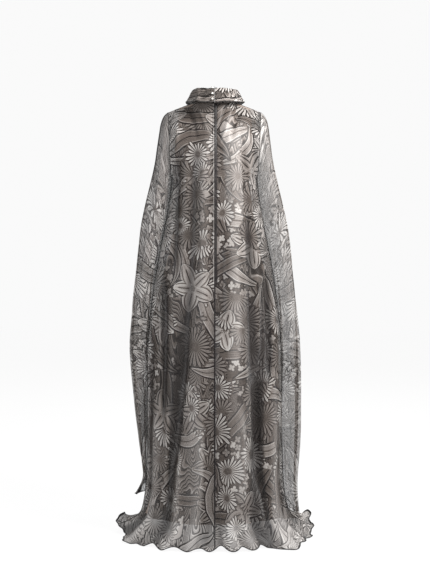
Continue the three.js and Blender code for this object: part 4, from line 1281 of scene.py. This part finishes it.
# along both faces of the collar's fall
fall, fallNormals = collarPoints[-4], collarNormals[-4]
outer, inner = stitching["proud"], clothWalls["collar"] + stitching["proud"]
collarStitches = stitches("collarStitches", [fall + fallNormals * outer, fall - fallNormals * inner])
# along both sides of the centre back seam
proud = np.array([0, stitching["proud"], 0])
backStitches = stitches("backStitches", [backLeft[1][8:-3, -6] - proud, backRight[1][8:-3, 5] - proud])
print("edges and stitches made")

# ---- the zip, the buttons and the loops

zipShape = {"behind": 3.6, "toothStep": 1.5, "toothHalf": 1.6, "toothRadius": 0.42}
zipRows = (upRows > float(np.interp(stitching["zipEnd"], heightTable, rowTable))) & (upRows < underarm + 0.9)
zipLine = backRight[1][zipRows][:, 0] * np.array([0, 1, 1]) + np.array([0, zipShape["behind"], 0])
zipCoil = runAlong("zipCoil", [zipLine], beadNodes, looks["coil"], "tape", Across=math.pi / 2,
                   Step=zipShape["toothStep"] / 1000, Half_Length=zipShape["toothHalf"] / 1000,
                   Radius=zipShape["toothRadius"] / 1000)

tapeObject = bpy.data.objects.get("back_zip")
if tapeObject:
    tapeObject.data.materials.clear()
    tapeObject.data.materials.append(looks["tape"])

closure = {
    "radius": 3.5, "across": -7.5, "rows": [5.15, 6.6, 7.55], "seat": 0.4, "reach": 9.5, "cord": 0.65,
    "loopRadius": 4.9, "mouth": 0.9, "footHalf": 1.6, "arch": 0.35,
    "plyOffset": 0.3, "plyRadius": 0.42, "plyTwist": 1.15,
}
pearl = {"rings": 16, "around": 28, "flat": 0.96, "dimple": 0.14, "dimpleWide": 0.22, "ripple": 0.012}


def unit(vector):
    return vector / np.linalg.norm(vector)


def onCollar(across, row, off):
    # a point off the collar's face: across is measured from the slit's middle
    angle = np.asarray(math.asin(across / (neck["half"] + float(along(collarFold["out"], np.asarray(row))))))
    step = 1e-3
    du = collarMiddle(angle + step, np.asarray(row)) - collarMiddle(angle - step, np.asarray(row))
    dv = collarMiddle(angle, np.asarray(row + step)) - collarMiddle(angle, np.asarray(row - step))
    return collarMiddle(angle, np.asarray(row)) + unit(np.cross(dv, du)) * (collarFold["wall"] / 2 + off)


def pearlMesh(name, centre, facing, radius):
    # a ball turned on a lathe, a little flat at the poles, with the dimple of its sewing eye
    around = pearl["around"]
    profile = []
    for turn in np.linspace(0, math.pi, pearl["rings"] + 1):
        dent = pearl["dimple"] * math.exp(-(((turn - math.pi) / pearl["dimpleWide"]) ** 2))
        profile.append((math.sin(turn) * radius, math.cos(turn) * radius * pearl["flat"] + dent * radius))
    axis = unit(facing)
    side = unit(np.cross(axis, [0, 0, 1.0]))
    other = np.cross(axis, side)
    vertices, faces = [], []
    for out, up in profile[1:-1]:
        for turn in np.arange(around) * 2 * math.pi / around:
            wave = 1 + pearl["ripple"] * math.sin(3 * turn + up)
            vertices.append(centre + axis * up + (side * math.cos(turn) + other * math.sin(turn)) * out * wave)
    top, bottom, last = len(vertices), len(vertices) + 1, len(vertices) - around
    vertices += [centre + axis * profile[0][1], centre + axis * profile[-1][1]]
    for j in range(around):
        beyond = (j + 1) % around
        for first in range(0, last, around):
            faces.append((first + j, first + around + j, first + around + beyond, first + beyond))
        faces += [(top, j, beyond), (bottom, last + beyond, last + j)]
    mesh = bpy.data.meshes.new(name)
    mesh.from_pydata(toMetres(np.array(vertices)).tolist(), [], faces)
    mesh.update()
    return mesh


def facesOut(mesh):
    work = bmesh.new()
    work.from_mesh(mesh)
    bmesh.ops.recalc_face_normals(work, faces=work.faces)
    work.to_mesh(mesh)
    work.free()
    mesh.shade_smooth()


def loopPath(ball, foot, sideways, upward, face):
    # from the foot, where the loop is sewn down, round the ball and back
    turns = np.linspace(closure["mouth"], 2 * math.pi - closure["mouth"], 40)
    ring = [ball + (sideways * math.cos(t) + upward * math.sin(t)) * closure["loopRadius"] for t in turns]

    def leg(a, b, shares):
        return [mix(a, b, t) + face * closure["arch"] * math.sin(t * math.pi) for t in shares]

    shares, apart = np.linspace(0, 1, 7), upward * closure["footHalf"]
    return np.array(leg(foot + apart, ring[0], shares[:-1]) + ring + leg(ring[-1], foot - apart, shares[1:]))


def layPlies(path, lift):
    # two plies laid round each other
    way = np.gradient(path, axis=0)
    cross = np.cross(way / np.linalg.norm(way, axis=1, keepdims=True), lift)
    fine, whole = np.linspace(0, len(path) - 1, 150), np.arange(len(path))

    def refine(rows):
        return np.stack([np.interp(fine, whole, rows[:, k]) for k in range(3)], axis=1)

    line, swing = refine(path), refine(cross)
    turns = [(fine * closure["plyTwist"] + phase)[:, None] for phase in (0, math.pi)]
    return [line + (swing * np.cos(turn) + lift * np.sin(turn)) * closure["plyOffset"] for turn in turns]


for number, row in enumerate(closure["rows"], 1):
    ball = onCollar(closure["across"], row, closure["seat"] + closure["radius"])
    foot = onCollar(closure["reach"], row, closure["cord"] + closure["seat"])
    face = onCollar(0, row, 1) - onCollar(0, row, 0)
    sideways = foot - ball
    sideways = unit(sideways - face * (sideways @ face) / (face @ face))
    upward = unit(np.cross(sideways, face))
    mesh = pearlMesh(f"pearlButton{number}", ball, face, closure["radius"])
    facesOut(mesh)
    addPiece(f"pearlButton{number}", mesh, looks["pearl"], [f"collar_button_{number}"])
    plies = layPlies(loopPath(ball, foot, sideways, upward, face), unit(face))
    runAlong(f"cordLoop{number}", plies, cordNodes, looks["cord"], "cord", [f"collar_loop_{number}"],
             Radius=closure["plyRadius"] / 1000, Sides=7)
print("zip, buttons and loops made")
# ---- floor and surroundings

studio = {"sky": 0.955, "soft": 0.34, "floorColour": 0.09, "floorGlow": 0.907, "floorHalf": 9}

floorMesh = bpy.data.meshes.new("studioFloor")
half = studio["floorHalf"]
corners = [(x, y, floorHeight) for x, y in ((-half, -half), (half, -half), (half, half), (-half, half))]
floorMesh.from_pydata(corners, [], [(0, 1, 2, 3)])
floor = bpy.data.objects.new("studioFloor", floorMesh)
bpy.context.collection.objects.link(floor)
floorMaterial, floorTree, floorShader = newMaterial("paleFloor", 0.8, 0.1)
white = (1, 1, 1, 1)
feedAll(floorTree, floorShader, {
    "Base Color": (studio["floorColour"],) * 3 + (1,),
    "Emission Color": white, "Emission Strength": studio["floorGlow"],
})
floorMesh.materials.append(floorMaterial)

world = bpy.data.worlds.new("studio")
world.use_nodes = True
worldTree = world.node_tree
seen = worldTree.nodes.new("ShaderNodeLightPath").outputs["Is Camera Ray"]
strength = blendOf(worldTree, studio["soft"], studio["sky"], seen)
feedAll(worldTree, worldTree.nodes["Background"], {"Color": white, "Strength": strength})
bpy.context.scene.world = world
